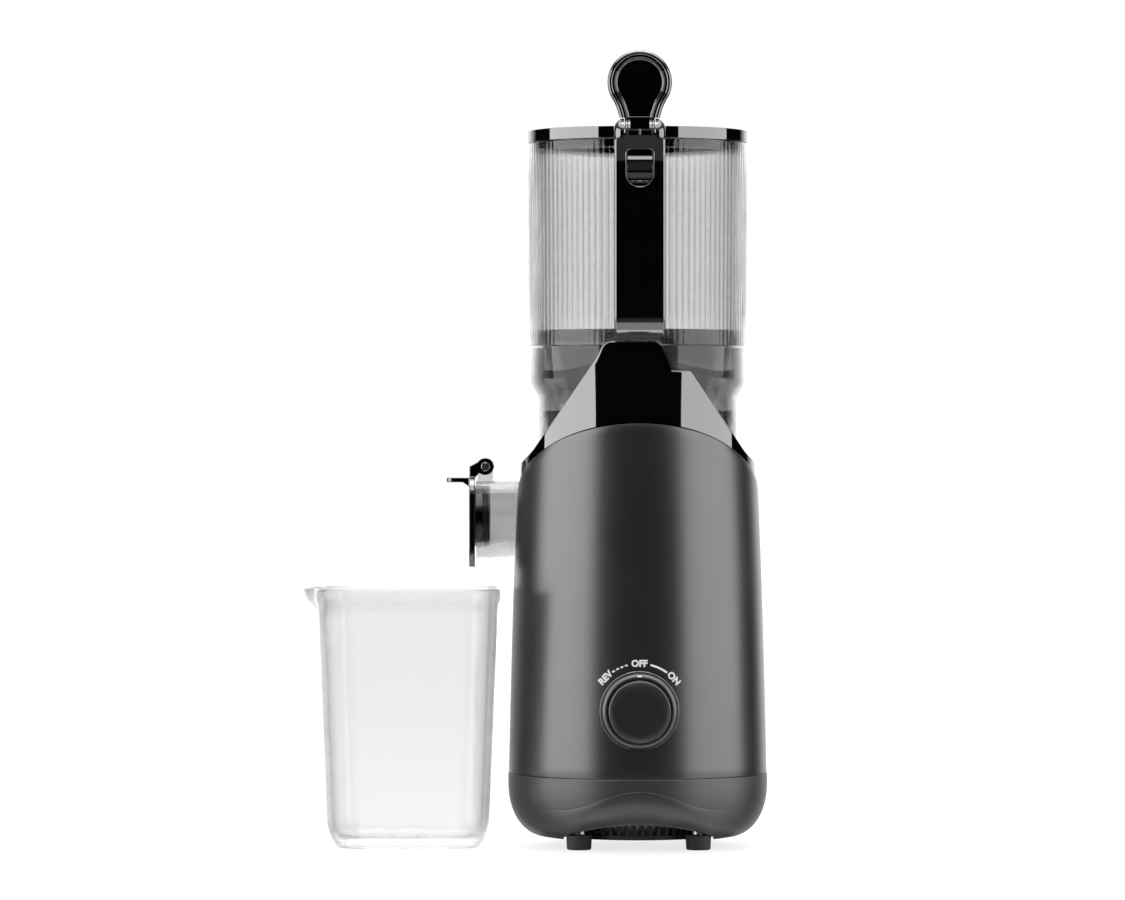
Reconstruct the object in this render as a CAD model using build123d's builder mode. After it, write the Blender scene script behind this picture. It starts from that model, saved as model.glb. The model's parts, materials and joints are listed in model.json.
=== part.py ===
from build123d import *
import math
import os

# Cold press juicer. Millimetres, +Z up, front is -Y, origin on the juicer's axis at floor level.

# ---- driving dimensions ----
foot_x = 35.3
foot_y = 45.0
foot_top_radius = 7.7
foot_floor_radius = 7.2
foot_height = 9.0

seam_z = 43.2                 # joint between the base skirt and the body shell
body_radius = 77.7
waist_z = 146.0
waist_radius = 74.5
shoulder_z = 215.0
shoulder_radius = 70.4
crown_z = 262.0
crown_radius = 70.2
shell_wall = 2.8
matte_rim_z = 212.5           # height of the inclined top edge above the axis
matte_rim_slope = 0.57        # rise of that edge towards the front, per unit of -Y

skirt_bend_z = 38.0           # where the skirt's side turns under
skirt_undercut = 20.7         # how far the skirt's foot lies inside the body's side
skirt_wall = 2.5
arch_radius = 227.0           # broad arch cut through the skirt's lower edge
arch_crown_z = 16.0
boss_radius = 9.5
skirt_ledge = 2.8             # flange inside the skirt that carries the bottom plate
skirt_ledge_skin = 0.2        # height of that flange over the arch
skirt_lip = 4.8               # spigot of the skirt inside the body shell
ledge_reach = 11.5
ledge_inset = 3.0             # how far that flange reaches inside the skirt's foot
plate_thickness = 2.5
plate_reach = 9.0             # how far the bottom plate reaches past the skirt's foot
pillar_radius = 5.0
pillar_height = 12.0
foot_edge = 1.0
drum_radius = 46.0
drum_floor_z = 5.5
slot_count = 60
slot_width = 3.0
slot_bottom_z = 8.0
slot_top_z = 15.0
base_screw_radius = 2.0
screw_head_radius = 3.8
screw_head_height = 2.5
screw_tip_room = 2.0

seam_gap = 0.3                # open line between the matte shell and the gloss cradle
gloss_crown_drop = 12.0
tower_radius = 73.4           # outside of the cradle at the tower's top
tower_top_z = 300.4
tower_left_x = 20.8
tower_right_x = 12.5
tower_shoulder_x = 25.3
tower_shoulder_z = 291.3
tower_notch_x = 21.8
tower_notch_end_x = 30.8
tower_notch_z = 283.2
tower_foot_half_width = 64.2
tower_foot_z = 235.0
tower_corner = 8.0
lug_recess = 2.5
cradle_bore = 61.5
tower_bore = 66.0
tower_step_z = 274.0
tower_step = 6.0
# side view of the cradle's rim, as (y, z) from the rear to the foot of the tower
gloss_rim = [(140.0, 170.0), (70.0, 198.0), (0.0, 226.0), (-27.9, 235.0), (-42.7, 247.5),
             (-54.6, 262.2), (-62.5, 276.8)]
deck_z = 163.0                # top face of the deck under the bowl
deck_thickness = 4.0

knob_z = 83.6
knob_grip_radius = 17.7
knob_skirt_radius = 22.3
knob_skirt_depth = 3.0
knob_skirt_edge = 1.2
knob_draft = 0.5
knob_edge = 1.0
knob_boss_margin = 1.0
knob_boss_depth = 5.2
pointer_width = 1.6
pointer_length = 2.6
pointer_stand = 0.4
knob_depth = 16.0
knob_boss_stand = 0.3         # how far the flat knob boss stands out past the body's side
switch_shaft_radius = 3.0
switch_size = 24.0
switch_depth = 17.0
switch_corner = 2.0
switch_bush_radius = 5.0
switch_tab = 4.0
terminal_thickness = 0.8
terminal_width = 4.0
board_motor_gap = 3.0
board_z = 88.0
board_width = 60.0
board_height = 36.0
board_thickness = 1.6
board_part_height = 11.0
board_peg_x = 24.0
board_peg_pitch = 28.0
board_peg_radius = 2.5
inlet_z = 60.0
inlet_stand = 0.6             # how far the inlet's face stands out past the body's side
inlet_width = 26.0
inlet_height = 18.0
inlet_depth = 22.0
inlet_flange = 1.5
inlet_wall = 2.0
inlet_pin_pitch = 8.6
inlet_pin_radius = 1.2

motor_radius = 44.0
motor_wall = 2.0
motor_floor_z = 40.0
motor_top_z = 112.0
stator_bottom_z = 54.0
stator_top_z = 96.0
stator_bore = 24.0
winding_height = 6.0
slot_poles = 9
stator_slot_orbit = 32.0
stator_slot_depth = 14.0
stator_slot_width = 5.0
stator_slot_mouth = 1.6
winding_width = 14.0
flange_radius = 56.0
motor_flange = 4.0
motor_screw_orbit = 51.0
motor_screw_radius = 2.0
motor_screw_head = 3.5
air_holes = 12
air_hole_radius = 4.5
rotor_gap = 0.5
motor_shaft_radius = 4.0
motor_shaft_bottom_z = 25.0
bearing_radius = 9.5
bearing_height = 7.0
bearing_edge = 0.5
fan_radius = 38.0
fan_z = 26.0
fan_height = 10.0
fan_blades = 9
fan_hub_radius = 8.0
fan_plate = 2.0
fan_blade_angle = 20.0

gear_module = 1.25
sun_teeth = 12
planet_teeth = 24
ring_teeth = 60
planet_count = 3
gear_z = 119.0
gear_width = 14.0
pressure_angle = 20.0
tooth_share = 0.33            # tooth thickness on the pitch circle over the pitch, which leaves backlash
tooth_tip = 1.1
tooth_root = 1.5
ring_radius = 43.0
cover_thickness = 4.0
gearbox_wall = 5.0
gearbox_plate_z = 154.0
planet_pin_radius = 4.0
pin_shoulder = 2.0
carrier_thickness = 6.0
carrier_radius = 30.0
shaft_radius = 8.0
shaft_top_z = 196.0
hex_across_corners = 14.0
bush_wall = 4.0
bush_bottom_z = 145.0
spigot_radius = 6.0
shaft_collar_radius = 11.0
hex_bottom_z = 176.0
seal_radius = 14.0
deck_screw_orbit = 52.0
deck_screw_radius = 2.0
deck_screw_head = 3.5
safety_switch_x = 62.0
safety_switch_width = 6.0
safety_switch_length = 14.0
safety_switch_height = 9.0

bowl_radius = 60.0
bowl_wall = 2.6
bowl_floor_z = 172.0
bowl_floor = 3.0
bowl_neck_z = 268.0
bowl_step_z = 277.0
bowl_rim_radius = 64.8
bowl_rim_z = 298.0
hub_bore = 9.0
hub_wall = 3.0
hub_bottom_z = 168.0
hub_top_z = 186.0
gasket_width = 4.0
gasket_height = 3.0
gasket_edge = 1.0
spout_y = 24.0
spout_end_x = 97.3
spout_bottom_z = 170.0
spout_top_z = 218.0
spout_half_width = 21.0
spout_corner = 12.0
spout_rise = 6.0
notch_gap = 1.5
post_radius = 4.6
post_half_width = 4.5
spout_bore_radius = 18.8
spout_lead = 1.6              # widening of the bore at its mouth, which clears the seal as the cap swings
spout_lead_depth = 4.1
spout_bore_z = 196.5
chute_half_width = 15.0
chute_end_y = 84.0
chute_top_z = 200.0
chute_corner = 6.0

cap_thickness = 3.6
cap_edge = 1.0                # how far the cap stands out past the spout's sides
cap_top_z = 220.0
cap_bottom_z = 166.0
cap_plug_depth = 9.0
cap_pin_x = 91.7
cap_pin_z = 226.6
cap_pin_radius = 2.4
cap_hook_radius = 5.2
cap_tab_x = 115.0
cap_tab_thickness = 3.0
cap_tab_half_width = 8.0
cap_tab_web = 4.0
cap_hook_width = 4.0
cap_hook_z = 214.0
plug_radius = 18.0
seal_width = 3.0
seal_lip = 1.2
seal_groove = 1.2
seal_edge = 1.2

strainer_floor_z = 178.0
strainer_top_z = 260.0
strainer_floor_radius = 49.0
strainer_rim_reach = 2.0      # how far the rim stands out past the strainer's wall
strainer_wall = 3.0
strainer_windows = 12
strainer_window_width = 18.0
strainer_band = 8.0
strainer_rim_height = 4.0
strainer_floor_bore = 18.0
mesh_wall = 0.8

auger_floor_z = 182.0
auger_top_z = 292.0
auger_core_floor_radius = 40.0
auger_core_top_radius = 16.0
flight_pitch = 34.0
flight_thickness = 5.0
flight_root = 12.0
flight_inset = 0.5
auger_core_middle_radius = 24.0
journal_radius = 8.0
journal_top_z = 298.0
journal_length = 6.0
journal_wall = 3.0
hub_room = 1.5
socket_radius = 10.5
socket_roof = 4.0

hopper_radius = 65.9
hopper_wall_thickness = 2.6
hopper_floor_top_z = 308.0
hopper_top_z = 420.0
funnel_top_radius = 57.0
funnel_neck_radius = 47.0
funnel_bottom_z = 264.0
funnel_wall = 2.4
feed_radius = 52.0
feed_edge_x = 13.0
hopper_draft = 0.8
lock_lugs = 3
lock_lug_z = 279.0
lock_lug_height = 5.0
lock_lug_width = 12.0
lock_lug_reach = 14.0
lock_lug_angle = -30.0

handle_half_width = 15.0
handle_front_y = 98.0
handle_depth = 12.5
handle_bottom_z = 301.2
handle_top_bend_z = 404.0
handle_corner = 15.0
arm_height = 13.0
top_arm_top_z = 418.5
grip_corner = 8.0
handle_lug_half_width = 5.0
handle_lug_height = 6.0
handle_lug_reach = 8.0
hinge_y = 86.0
hinge_z = 421.3
hinge_radius = 8.8
hinge_pin_radius = 2.5
knuckle_half_width = 8.8
cover_half_width = 7.6
cover_bottom_z = 389.0
cover_top_z = 410.0
cover_depth = 2.5

lid_rim_z = 427.3
lid_overhang = 0.3
lid_wall = 2.4
lid_seat_gap = 0.3
lid_plug_depth = 5.0
paddle_z = 451.3
paddle_radius = 18.9
paddle_neck_half_width = 11.9
paddle_thickness = 6.0
paddle_bead = 2.2
paddle_recess = 2.0
paddle_shoulder = 13.5
paddle_shoulder_drop = 13.0
lever_foot_half_width = 5.0
lever_foot_depth = 4.0
lever_foot_height = 3.0

jug_x = -137.0
jug_base = 97.0
jug_base_slant = 6.5
jug_top = 108.0
jug_height = 154.0
jug_corner = 24.0
jug_wall = 2.4
jug_floor = 6.0
jug_chamfer_z = 17.0
jug_rim = 1.8
jug_rim_height = 9.0
jug_lip = 9.8
jug_lip_root = 3.0
jug_lip_height = 22.0
jug_lip_bottom = 0.5
jug_lip_tip = 0.5

# ---- clearances ----
fit_gap = 0.1                 # between pieces that are fixed together
run_gap = 0.05                # between a shaft and its bush
free_gap = 0.4                # between pieces that move past each other
press_gap = 0.02              # between a shaft and what is pressed on it

# ---- sizes that follow ----
ring_pitch_radius = gear_module * ring_teeth / 2
sun_pitch_radius = gear_module * sun_teeth / 2
planet_pitch_radius = gear_module * planet_teeth / 2
planet_orbit = sun_pitch_radius + planet_pitch_radius
gear_top_z = gear_z + gear_width
carrier_z = gear_top_z + 2 * free_gap
carrier_top_z = carrier_z + carrier_thickness
gearbox_top_z = deck_z - deck_thickness
bush_radius = shaft_radius + run_gap + bush_wall
stator_radius = motor_radius - motor_wall - fit_gap
rotor_radius = stator_bore - rotor_gap
shaft_bore = motor_shaft_radius + run_gap
bottom_arm_z = handle_bottom_z + arm_height / 2
top_arm_z = top_arm_top_z - arm_height / 2


def below_plane(height, slope, reach=400.0):
    """A block that fills everything below the plane z = height - slope * y."""
    side = 100.0
    with BuildPart() as block:
        with BuildSketch(Plane.YZ.offset(-side)):
            with BuildLine():
                Polyline((-side, height + slope * side), (side, height - slope * side),
                         (side, height - reach), (-side, height - reach), close=True)
            make_face()
        extrude(amount=2 * side)
    return block.part


def gear_outline(teeth, tip_radius, root_radius, turn):
    """Corner points of a gear with straight-sided teeth, the first one centred at turn degrees."""
    pitch_radius = gear_module * teeth / 2
    half_angle = math.pi * tooth_share / teeth
    slope = math.copysign(math.tan(math.radians(pressure_angle)) / pitch_radius, tip_radius - root_radius)
    points = []
    for tooth in range(teeth):
        centre = math.radians(turn) + 2 * math.pi * tooth / teeth
        for radius, side in ((root_radius, -1), (tip_radius, -1), (tip_radius, 1), (root_radius, 1)):
            angle = centre + side * (half_angle - slope * (radius - pitch_radius))
            points.append((radius * math.cos(angle), radius * math.sin(angle)))
    return points


# ---- base: skirt, feet, bottom plate ----
skirt_floor_radius = body_radius - skirt_undercut
skirt_lip_radius = body_radius - shell_wall - fit_gap
skirt_inner_radius = skirt_lip_radius - skirt_wall
ledge_bottom_z = arch_crown_z + skirt_ledge_skin
plate_z = ledge_bottom_z + skirt_ledge
plate_top_z = plate_z + plate_thickness
pillar_top_z = plate_top_z + pillar_height
feet = GridLocations(2 * foot_x, 2 * foot_y, 2, 2)

with BuildPart() as base_skirt:
    with BuildSketch(Plane.XZ):
        with BuildLine():
            Polyline((body_radius, skirt_bend_z), (body_radius, seam_z), (skirt_lip_radius, seam_z),
                     (skirt_lip_radius, seam_z + skirt_lip), (skirt_inner_radius, seam_z + skirt_lip),
                     (skirt_inner_radius, skirt_bend_z))
            EllipticalCenterArc((skirt_floor_radius, skirt_bend_z), body_radius - skirt_floor_radius,
                                skirt_bend_z - foot_height, start_angle=270, arc_size=90)
            EllipticalCenterArc((skirt_floor_radius, skirt_bend_z), skirt_inner_radius - skirt_floor_radius,
                                skirt_bend_z - foot_height - skirt_wall, start_angle=270, arc_size=90)
            Line((skirt_floor_radius, foot_height), (skirt_floor_radius, foot_height + skirt_wall))
        make_face()
    revolve(axis=Axis.Z)
    with BuildSketch(Plane.XZ.offset(body_radius)):
        with Locations((0, arch_crown_z - arch_radius)):
            Circle(arch_radius)
    extrude(amount=-2 * body_radius, mode=Mode.SUBTRACT)
    with BuildSketch(Plane.XY.offset(ledge_bottom_z)):
        Circle(skirt_floor_radius + ledge_reach)
        Circle(skirt_floor_radius - ledge_inset, mode=Mode.SUBTRACT)
    extrude(amount=skirt_ledge)
    with BuildSketch(Plane.XY.offset(foot_height)):
        with feet:
            Circle(boss_radius)
    extrude(amount=ledge_bottom_z - foot_height + skirt_ledge)
    with BuildSketch(Plane.XY.offset(foot_height)):
        with feet:
            Circle(base_screw_radius + fit_gap)
    extrude(amount=pillar_top_z, mode=Mode.SUBTRACT)
    with BuildSketch(Plane.XY.offset(foot_height)):
        with feet:
            Circle(screw_head_radius + fit_gap)
    extrude(amount=screw_head_height + fit_gap, mode=Mode.SUBTRACT)

with BuildPart() as rubber_feet:
    with feet:
        Cone(foot_floor_radius, foot_top_radius, foot_height,
             align=(Align.CENTER, Align.CENTER, Align.MIN))
    fillet(rubber_feet.faces().filter_by(Axis.Z).group_by(Axis.Z)[0].edges(), radius=foot_edge)

with BuildPart() as bottom_plate:
    with BuildSketch(Plane.XY.offset(plate_z)):
        Circle(skirt_floor_radius + plate_reach)
    extrude(amount=plate_thickness)
    with BuildSketch(Plane.XY.offset(drum_floor_z)):
        Circle(drum_radius)
    extrude(amount=plate_z - drum_floor_z)
    with BuildSketch(Plane.XY.offset(drum_floor_z + plate_thickness)):
        Circle(drum_radius - plate_thickness)
    extrude(amount=plate_top_z, mode=Mode.SUBTRACT)
    with BuildSketch(Plane.XY.offset(slot_bottom_z)):
        with PolarLocations(drum_radius, slot_count):
            Rectangle(3 * plate_thickness, slot_width)
    extrude(amount=slot_top_z - slot_bottom_z, mode=Mode.SUBTRACT)
    with BuildSketch(Plane.XY.offset(plate_top_z)):
        with feet:
            Circle(pillar_radius)
    extrude(amount=pillar_height)
    with BuildSketch(Plane.XY.offset(pillar_top_z)):
        with feet:
            Circle(base_screw_radius + fit_gap)
    extrude(amount=-pillar_height - plate_thickness, mode=Mode.SUBTRACT)

with BuildPart() as base_screws:
    with BuildSketch(Plane.XY.offset(foot_height + fit_gap)):
        with feet:
            Circle(screw_head_radius)
    extrude(amount=screw_head_height - fit_gap)
    with BuildSketch(Plane.XY.offset(foot_height + screw_head_height)):
        with feet:
            Circle(base_screw_radius)
    extrude(amount=pillar_top_z - foot_height - screw_head_height - screw_tip_room)


# ---- body shell ----
def shell_points(inset):
    """Points of the body's side, inset by a wall, from the seam to the crown."""
    return [(body_radius - inset, seam_z), (waist_radius - inset, waist_z),
            (shoulder_radius - inset, shoulder_z), (crown_radius - inset, crown_z)]


spout_notch = spout_half_width + notch_gap
chute_notch = chute_half_width + notch_gap
knob_boss_face = body_radius + knob_boss_stand
knob_plane = Plane.XZ.offset(knob_boss_face)
board_y = motor_radius + board_part_height + board_motor_gap
peg_wall_y = math.sqrt((body_radius - shell_wall / 2) ** 2 - board_peg_x ** 2)

with BuildPart() as outlet_notches:
    with BuildSketch(Plane.YZ.offset(-2 * body_radius)):
        with Locations((spout_y, spout_bottom_z - notch_gap + tower_top_z / 2)):
            RectangleRounded(2 * spout_notch, tower_top_z, spout_corner)
    extrude(amount=2 * body_radius - cradle_bore / 2)
    with BuildSketch(Plane.XZ.offset(-2 * body_radius)):
        with Locations((0, bowl_floor_z - notch_gap + tower_top_z / 2)):
            RectangleRounded(2 * chute_notch, tower_top_z, chute_corner)
    extrude(amount=2 * body_radius - cradle_bore / 2)

with BuildPart() as body_shell:
    with BuildSketch(Plane.XZ):
        with BuildLine():
            outside = Spline(*shell_points(0))
            inside = Spline(*shell_points(shell_wall))
            Line(outside @ 0, inside @ 0)
            Line(outside @ 1, inside @ 1)
        make_face()
    revolve(axis=Axis.Z)
    add(below_plane(matte_rim_z, matte_rim_slope), mode=Mode.INTERSECT)
    add(outlet_notches.part, mode=Mode.SUBTRACT)
    with BuildSketch(knob_plane):
        with Locations((0, knob_z)):
            Circle(knob_skirt_radius + knob_boss_margin)
    extrude(amount=-knob_boss_depth)
    with BuildSketch(knob_plane):
        with Locations((0, knob_z)):
            Circle(switch_bush_radius + fit_gap)
    extrude(amount=-2 * knob_boss_depth, mode=Mode.SUBTRACT)
    with BuildSketch(Plane.XZ.offset(-peg_wall_y)):
        with Locations((0, board_z)):
            with GridLocations(2 * board_peg_x, board_peg_pitch, 2, 2):
                Circle(board_peg_radius)
    extrude(amount=peg_wall_y - board_y - board_thickness)
    with BuildSketch(Plane.XZ.offset(-2 * body_radius)):
        with Locations((0, inlet_z)):
            Rectangle(inlet_width + 2 * fit_gap, inlet_height + 2 * fit_gap)
    extrude(amount=2 * body_radius - motor_radius, mode=Mode.SUBTRACT)


# ---- gloss cradle ----
def gloss_points():
    """Points of the cradle's outside, flush with the shell and flared to the tower."""
    return shell_points(seam_gap)[1:3] + [(crown_radius - seam_gap, crown_z - gloss_crown_drop),
                                          (tower_radius, tower_top_z)]


with BuildPart() as cradle_keep:
    with BuildSketch(Plane.YZ.offset(-2 * body_radius)):
        with BuildLine():
            Spline(*gloss_rim)
            Polyline(gloss_rim[-1], (-2 * body_radius, gloss_rim[-1][1]), (-2 * body_radius, 0),
                     (gloss_rim[0][0], 0), gloss_rim[0])
        make_face()
    extrude(amount=4 * body_radius)
    with BuildSketch(Plane.XZ) as tower_outline:
        with BuildLine():
            Polyline((-tower_foot_half_width, tower_foot_z), (-tower_shoulder_x, tower_shoulder_z),
                     (-tower_left_x, tower_top_z), (tower_right_x, tower_top_z),
                     (tower_notch_x, tower_notch_z), (tower_notch_end_x, tower_notch_z),
                     (tower_foot_half_width, tower_foot_z), close=True)
        make_face()
        fillet(tower_outline.vertices().group_by(Axis.Y)[-1], radius=tower_corner)
    extrude(amount=2 * body_radius)

with BuildPart() as cradle:
    with BuildSketch(Plane.XZ):
        with BuildLine():
            outside = Spline(*gloss_points())
            Polyline(outside @ 1, (tower_bore, tower_top_z), (tower_bore, tower_step_z),
                     (cradle_bore, tower_step_z - tower_step), (cradle_bore, waist_z),
                     outside @ 0)
        make_face()
    revolve(axis=Axis.Z)
    add(below_plane(matte_rim_z + seam_gap, matte_rim_slope), mode=Mode.SUBTRACT)
    with BuildSketch(Plane.XZ):
        with BuildLine():
            outside = Spline(*shell_points(shell_wall + fit_gap))
            Polyline(outside @ 1, (cradle_bore, crown_z), (cradle_bore, seam_z), outside @ 0)
        make_face()
    revolve(axis=Axis.Z)
    with BuildSketch(Plane.XY):
        Circle(2 * body_radius)
    extrude(amount=deck_z - deck_thickness, mode=Mode.SUBTRACT)
    add(cradle_keep.part, mode=Mode.INTERSECT)
    with BuildSketch(Plane.XY.offset(deck_z - deck_thickness)):
        Circle(cradle_bore)
        Circle(seal_radius + fit_gap, mode=Mode.SUBTRACT)
        with PolarLocations(deck_screw_orbit, 4):
            Circle(deck_screw_radius + fit_gap, mode=Mode.SUBTRACT)
    extrude(amount=deck_thickness)
    add(outlet_notches.part, mode=Mode.SUBTRACT)
    with BuildSketch(Plane.XZ.offset(math.sqrt(tower_radius**2 - tower_notch_x**2) - lug_recess)):
        with BuildLine():
            Polyline((tower_right_x + lug_recess, tower_notch_z), (tower_right_x - lug_recess, tower_top_z),
                     (tower_notch_end_x, tower_top_z), (tower_notch_end_x, tower_notch_z), close=True)
        make_face()
    extrude(amount=tower_radius, mode=Mode.SUBTRACT)


# ---- knob and switch ----
knob_back = knob_boss_face + free_gap
switch_front_y = knob_boss_face - knob_boss_depth

knob_axis = Axis((0, 0, knob_z), (0, 1, 0))
pointer_z = knob_z + (knob_grip_radius + knob_skirt_radius) / 2

with BuildPart() as knob:
    with BuildSketch(Plane.YZ):
        with BuildLine():
            Polyline((-knob_back, knob_z), (-knob_back, knob_z + knob_skirt_radius),
                     (-knob_back - knob_skirt_edge, knob_z + knob_skirt_radius),
                     (-knob_back - knob_skirt_depth, knob_z + knob_grip_radius + 2 * knob_draft),
                     (-knob_back - knob_skirt_depth, knob_z + knob_grip_radius),
                     (-knob_back - knob_depth, knob_z + knob_grip_radius - knob_draft),
                     (-knob_back - knob_depth, knob_z), close=True)
        make_face()
    revolve(axis=knob_axis)
    fillet(knob.faces().sort_by(Axis.Y)[0].edges(), radius=knob_edge)
    with BuildSketch(Plane.XZ.offset(knob_back)):
        with Locations((0, knob_z)):
            Circle(switch_shaft_radius + press_gap)
    extrude(amount=knob_depth - knob_skirt_depth, mode=Mode.SUBTRACT)
    with BuildSketch(Plane.XZ.offset(knob_back + knob_skirt_depth / 4)):
        with Locations((0, pointer_z)):
            Rectangle(pointer_width + 2 * fit_gap, pointer_length + 2 * fit_gap)
    extrude(amount=knob_skirt_depth, mode=Mode.SUBTRACT)

with BuildPart() as knob_pointer:
    with BuildSketch(Plane.XZ.offset(knob_back + knob_skirt_depth / 4)):
        with Locations((0, pointer_z)):
            Rectangle(pointer_width, pointer_length)
    extrude(amount=knob_skirt_depth / 2 + pointer_stand)

with BuildPart() as switch_shaft:
    with BuildSketch(Plane.XZ.offset(switch_front_y - switch_depth + switch_corner)):
        with Locations((0, knob_z)):
            Circle(switch_shaft_radius)
    extrude(amount=knob_back + knob_depth - 2 * knob_skirt_depth - switch_front_y + switch_depth
            - switch_corner)

with BuildPart() as rotary_switch:
    with BuildSketch(Plane.XZ.offset(switch_front_y)):
        with Locations((0, knob_z)):
            RectangleRounded(switch_size, switch_size, switch_corner)
    extrude(amount=-switch_depth)
    with BuildSketch(Plane.XZ.offset(switch_front_y)):
        with Locations((0, knob_z)):
            Circle(switch_bush_radius)
    extrude(amount=knob_boss_depth - fit_gap)
    with BuildSketch(Plane.XZ.offset(switch_front_y - switch_depth)):
        with Locations((0, knob_z)):
            with GridLocations(switch_size / 3, switch_size / 2, 3, 2):
                Rectangle(terminal_thickness, terminal_width)
    extrude(amount=-switch_tab)
    with BuildSketch(Plane.XZ.offset(knob_boss_face)):
        with Locations((0, knob_z)):
            Circle(switch_shaft_radius + run_gap)
    extrude(amount=-2 * switch_size, mode=Mode.SUBTRACT)

# ---- mains inlet and control board ----
inlet_face_y = body_radius + inlet_stand

with BuildPart() as power_inlet:
    with BuildSketch(Plane.XZ.offset(-inlet_face_y)):
        with Locations((0, inlet_z)):
            RectangleRounded(inlet_width + 2 * inlet_flange, inlet_height + 2 * inlet_flange, inlet_flange)
    extrude(amount=-inlet_flange)
    with BuildSketch(Plane.XZ.offset(-inlet_face_y)):
        with Locations((0, inlet_z)):
            Rectangle(inlet_width, inlet_height)
    extrude(amount=inlet_depth)
    with BuildSketch(Plane.XZ.offset(-inlet_face_y - inlet_flange)):
        with Locations((0, inlet_z)):
            SlotOverall(inlet_width - 2 * inlet_wall, inlet_height - 2 * inlet_wall)
    extrude(amount=inlet_depth, mode=Mode.SUBTRACT)
    with BuildSketch(Plane.XZ.offset(-inlet_face_y + inlet_depth)):
        with Locations((0, inlet_z)):
            with GridLocations(inlet_pin_pitch, 0, 2, 1):
                Circle(inlet_pin_radius)
    extrude(amount=-inlet_depth)

with BuildPart() as control_board:
    with BuildSketch(Plane.XZ.offset(-board_y)):
        with Locations((0, board_z)):
            Rectangle(board_width, board_height)
    extrude(amount=-board_thickness)
    with BuildSketch(Plane.XZ.offset(-board_y)):
        with Locations((-board_width / 4, board_z), (board_width / 5, board_z + board_height / 5)):
            Rectangle(board_width / 4, board_height / 3)
        with Locations((board_width / 5, board_z - board_height / 4)):
            Circle(board_height / 8)
    extrude(amount=board_part_height)

# ---- motor ----
lower_bearing_z = motor_floor_z + motor_wall
gearbox_flange_z = motor_top_z + cover_thickness
upper_bearing_z = motor_top_z - bearing_height - fit_gap
pocket_radius = bearing_radius + fit_gap
pole_angle = 360 / slot_poles
motor_screw_places = PolarLocations(motor_screw_orbit, 4, start_angle=45)

with BuildPart() as motor_can:
    with BuildSketch(Plane.XY.offset(motor_floor_z)):
        Circle(motor_radius)
    extrude(amount=motor_top_z - motor_floor_z)
    with BuildSketch(Plane.XY.offset(lower_bearing_z)):
        Circle(motor_radius - motor_wall)
    extrude(amount=motor_top_z, mode=Mode.SUBTRACT)
    with BuildSketch(Plane.XY.offset(motor_floor_z)):
        Circle(pocket_radius + motor_wall)
    extrude(amount=motor_wall + bearing_height)
    with BuildSketch(Plane.XY.offset(lower_bearing_z)):
        Circle(pocket_radius)
    extrude(amount=bearing_height, mode=Mode.SUBTRACT)
    with BuildSketch(Plane.XY.offset(motor_top_z - motor_flange)):
        Circle(flange_radius)
        Circle(motor_radius - motor_wall, mode=Mode.SUBTRACT)
        with motor_screw_places:
            Circle(motor_screw_radius + fit_gap, mode=Mode.SUBTRACT)
    extrude(amount=motor_flange)
    with BuildSketch(Plane.XY.offset(motor_floor_z)):
        Circle(motor_shaft_radius + free_gap)
        with PolarLocations((motor_radius + pocket_radius) / 2, air_holes):
            Circle(air_hole_radius)
    extrude(amount=motor_wall, mode=Mode.SUBTRACT)

with BuildPart() as motor_stator:
    with BuildSketch(Plane.XY.offset(stator_bottom_z)):
        Circle(stator_radius)
        Circle(stator_bore, mode=Mode.SUBTRACT)
        with PolarLocations(stator_slot_orbit, slot_poles, start_angle=pole_angle / 2):
            Rectangle(stator_slot_depth, stator_slot_width, mode=Mode.SUBTRACT)
        with PolarLocations(stator_bore, slot_poles, start_angle=pole_angle / 2):
            Rectangle(stator_slot_depth, stator_slot_mouth, mode=Mode.SUBTRACT)
    extrude(amount=stator_top_z - stator_bottom_z)

with BuildPart() as stator_windings:
    for coil_z in (stator_bottom_z - winding_height, stator_top_z):
        with BuildSketch(Plane.XY.offset(coil_z)):
            with PolarLocations(stator_slot_orbit, slot_poles):
                RectangleRounded(stator_slot_depth, winding_width, winding_height / 4)
        extrude(amount=winding_height)

with BuildPart() as motor_rotor:
    with BuildSketch(Plane.XY.offset(motor_shaft_bottom_z)):
        Circle(motor_shaft_radius)
    extrude(amount=gear_top_z - motor_shaft_bottom_z)
    with BuildSketch(Plane.XY.offset(stator_bottom_z)):
        Circle(rotor_radius)
    extrude(amount=stator_top_z - stator_bottom_z)

with BuildPart() as motor_bearings:
    for bearing_z in (lower_bearing_z, upper_bearing_z):
        with BuildSketch(Plane.XY.offset(bearing_z)):
            Circle(bearing_radius)
            Circle(shaft_bore, mode=Mode.SUBTRACT)
        extrude(amount=bearing_height)
    bearing_rims = motor_bearings.edges().filter_by(GeomType.CIRCLE)
    chamfer([rim for rim in bearing_rims if rim.radius > pocket_radius - 2 * fit_gap], length=bearing_edge)

with BuildPart() as cooling_fan:
    with BuildSketch(Plane.XY.offset(fan_z)):
        Circle(fan_hub_radius)
    extrude(amount=fan_height)
    with BuildSketch(Plane.XY.offset(fan_z + fan_height - fan_plate)):
        Circle(fan_radius)
    extrude(amount=fan_plate)
    with BuildSketch(Plane.XY.offset(fan_z)):
        with PolarLocations((fan_hub_radius + fan_radius) / 2, fan_blades):
            Rectangle(fan_radius - fan_hub_radius, fan_plate, rotation=fan_blade_angle)
    extrude(amount=fan_height)
    with BuildSketch(Plane.XY.offset(fan_z)):
        Circle(motor_shaft_radius + press_gap)
    extrude(amount=fan_height, mode=Mode.SUBTRACT)

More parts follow.
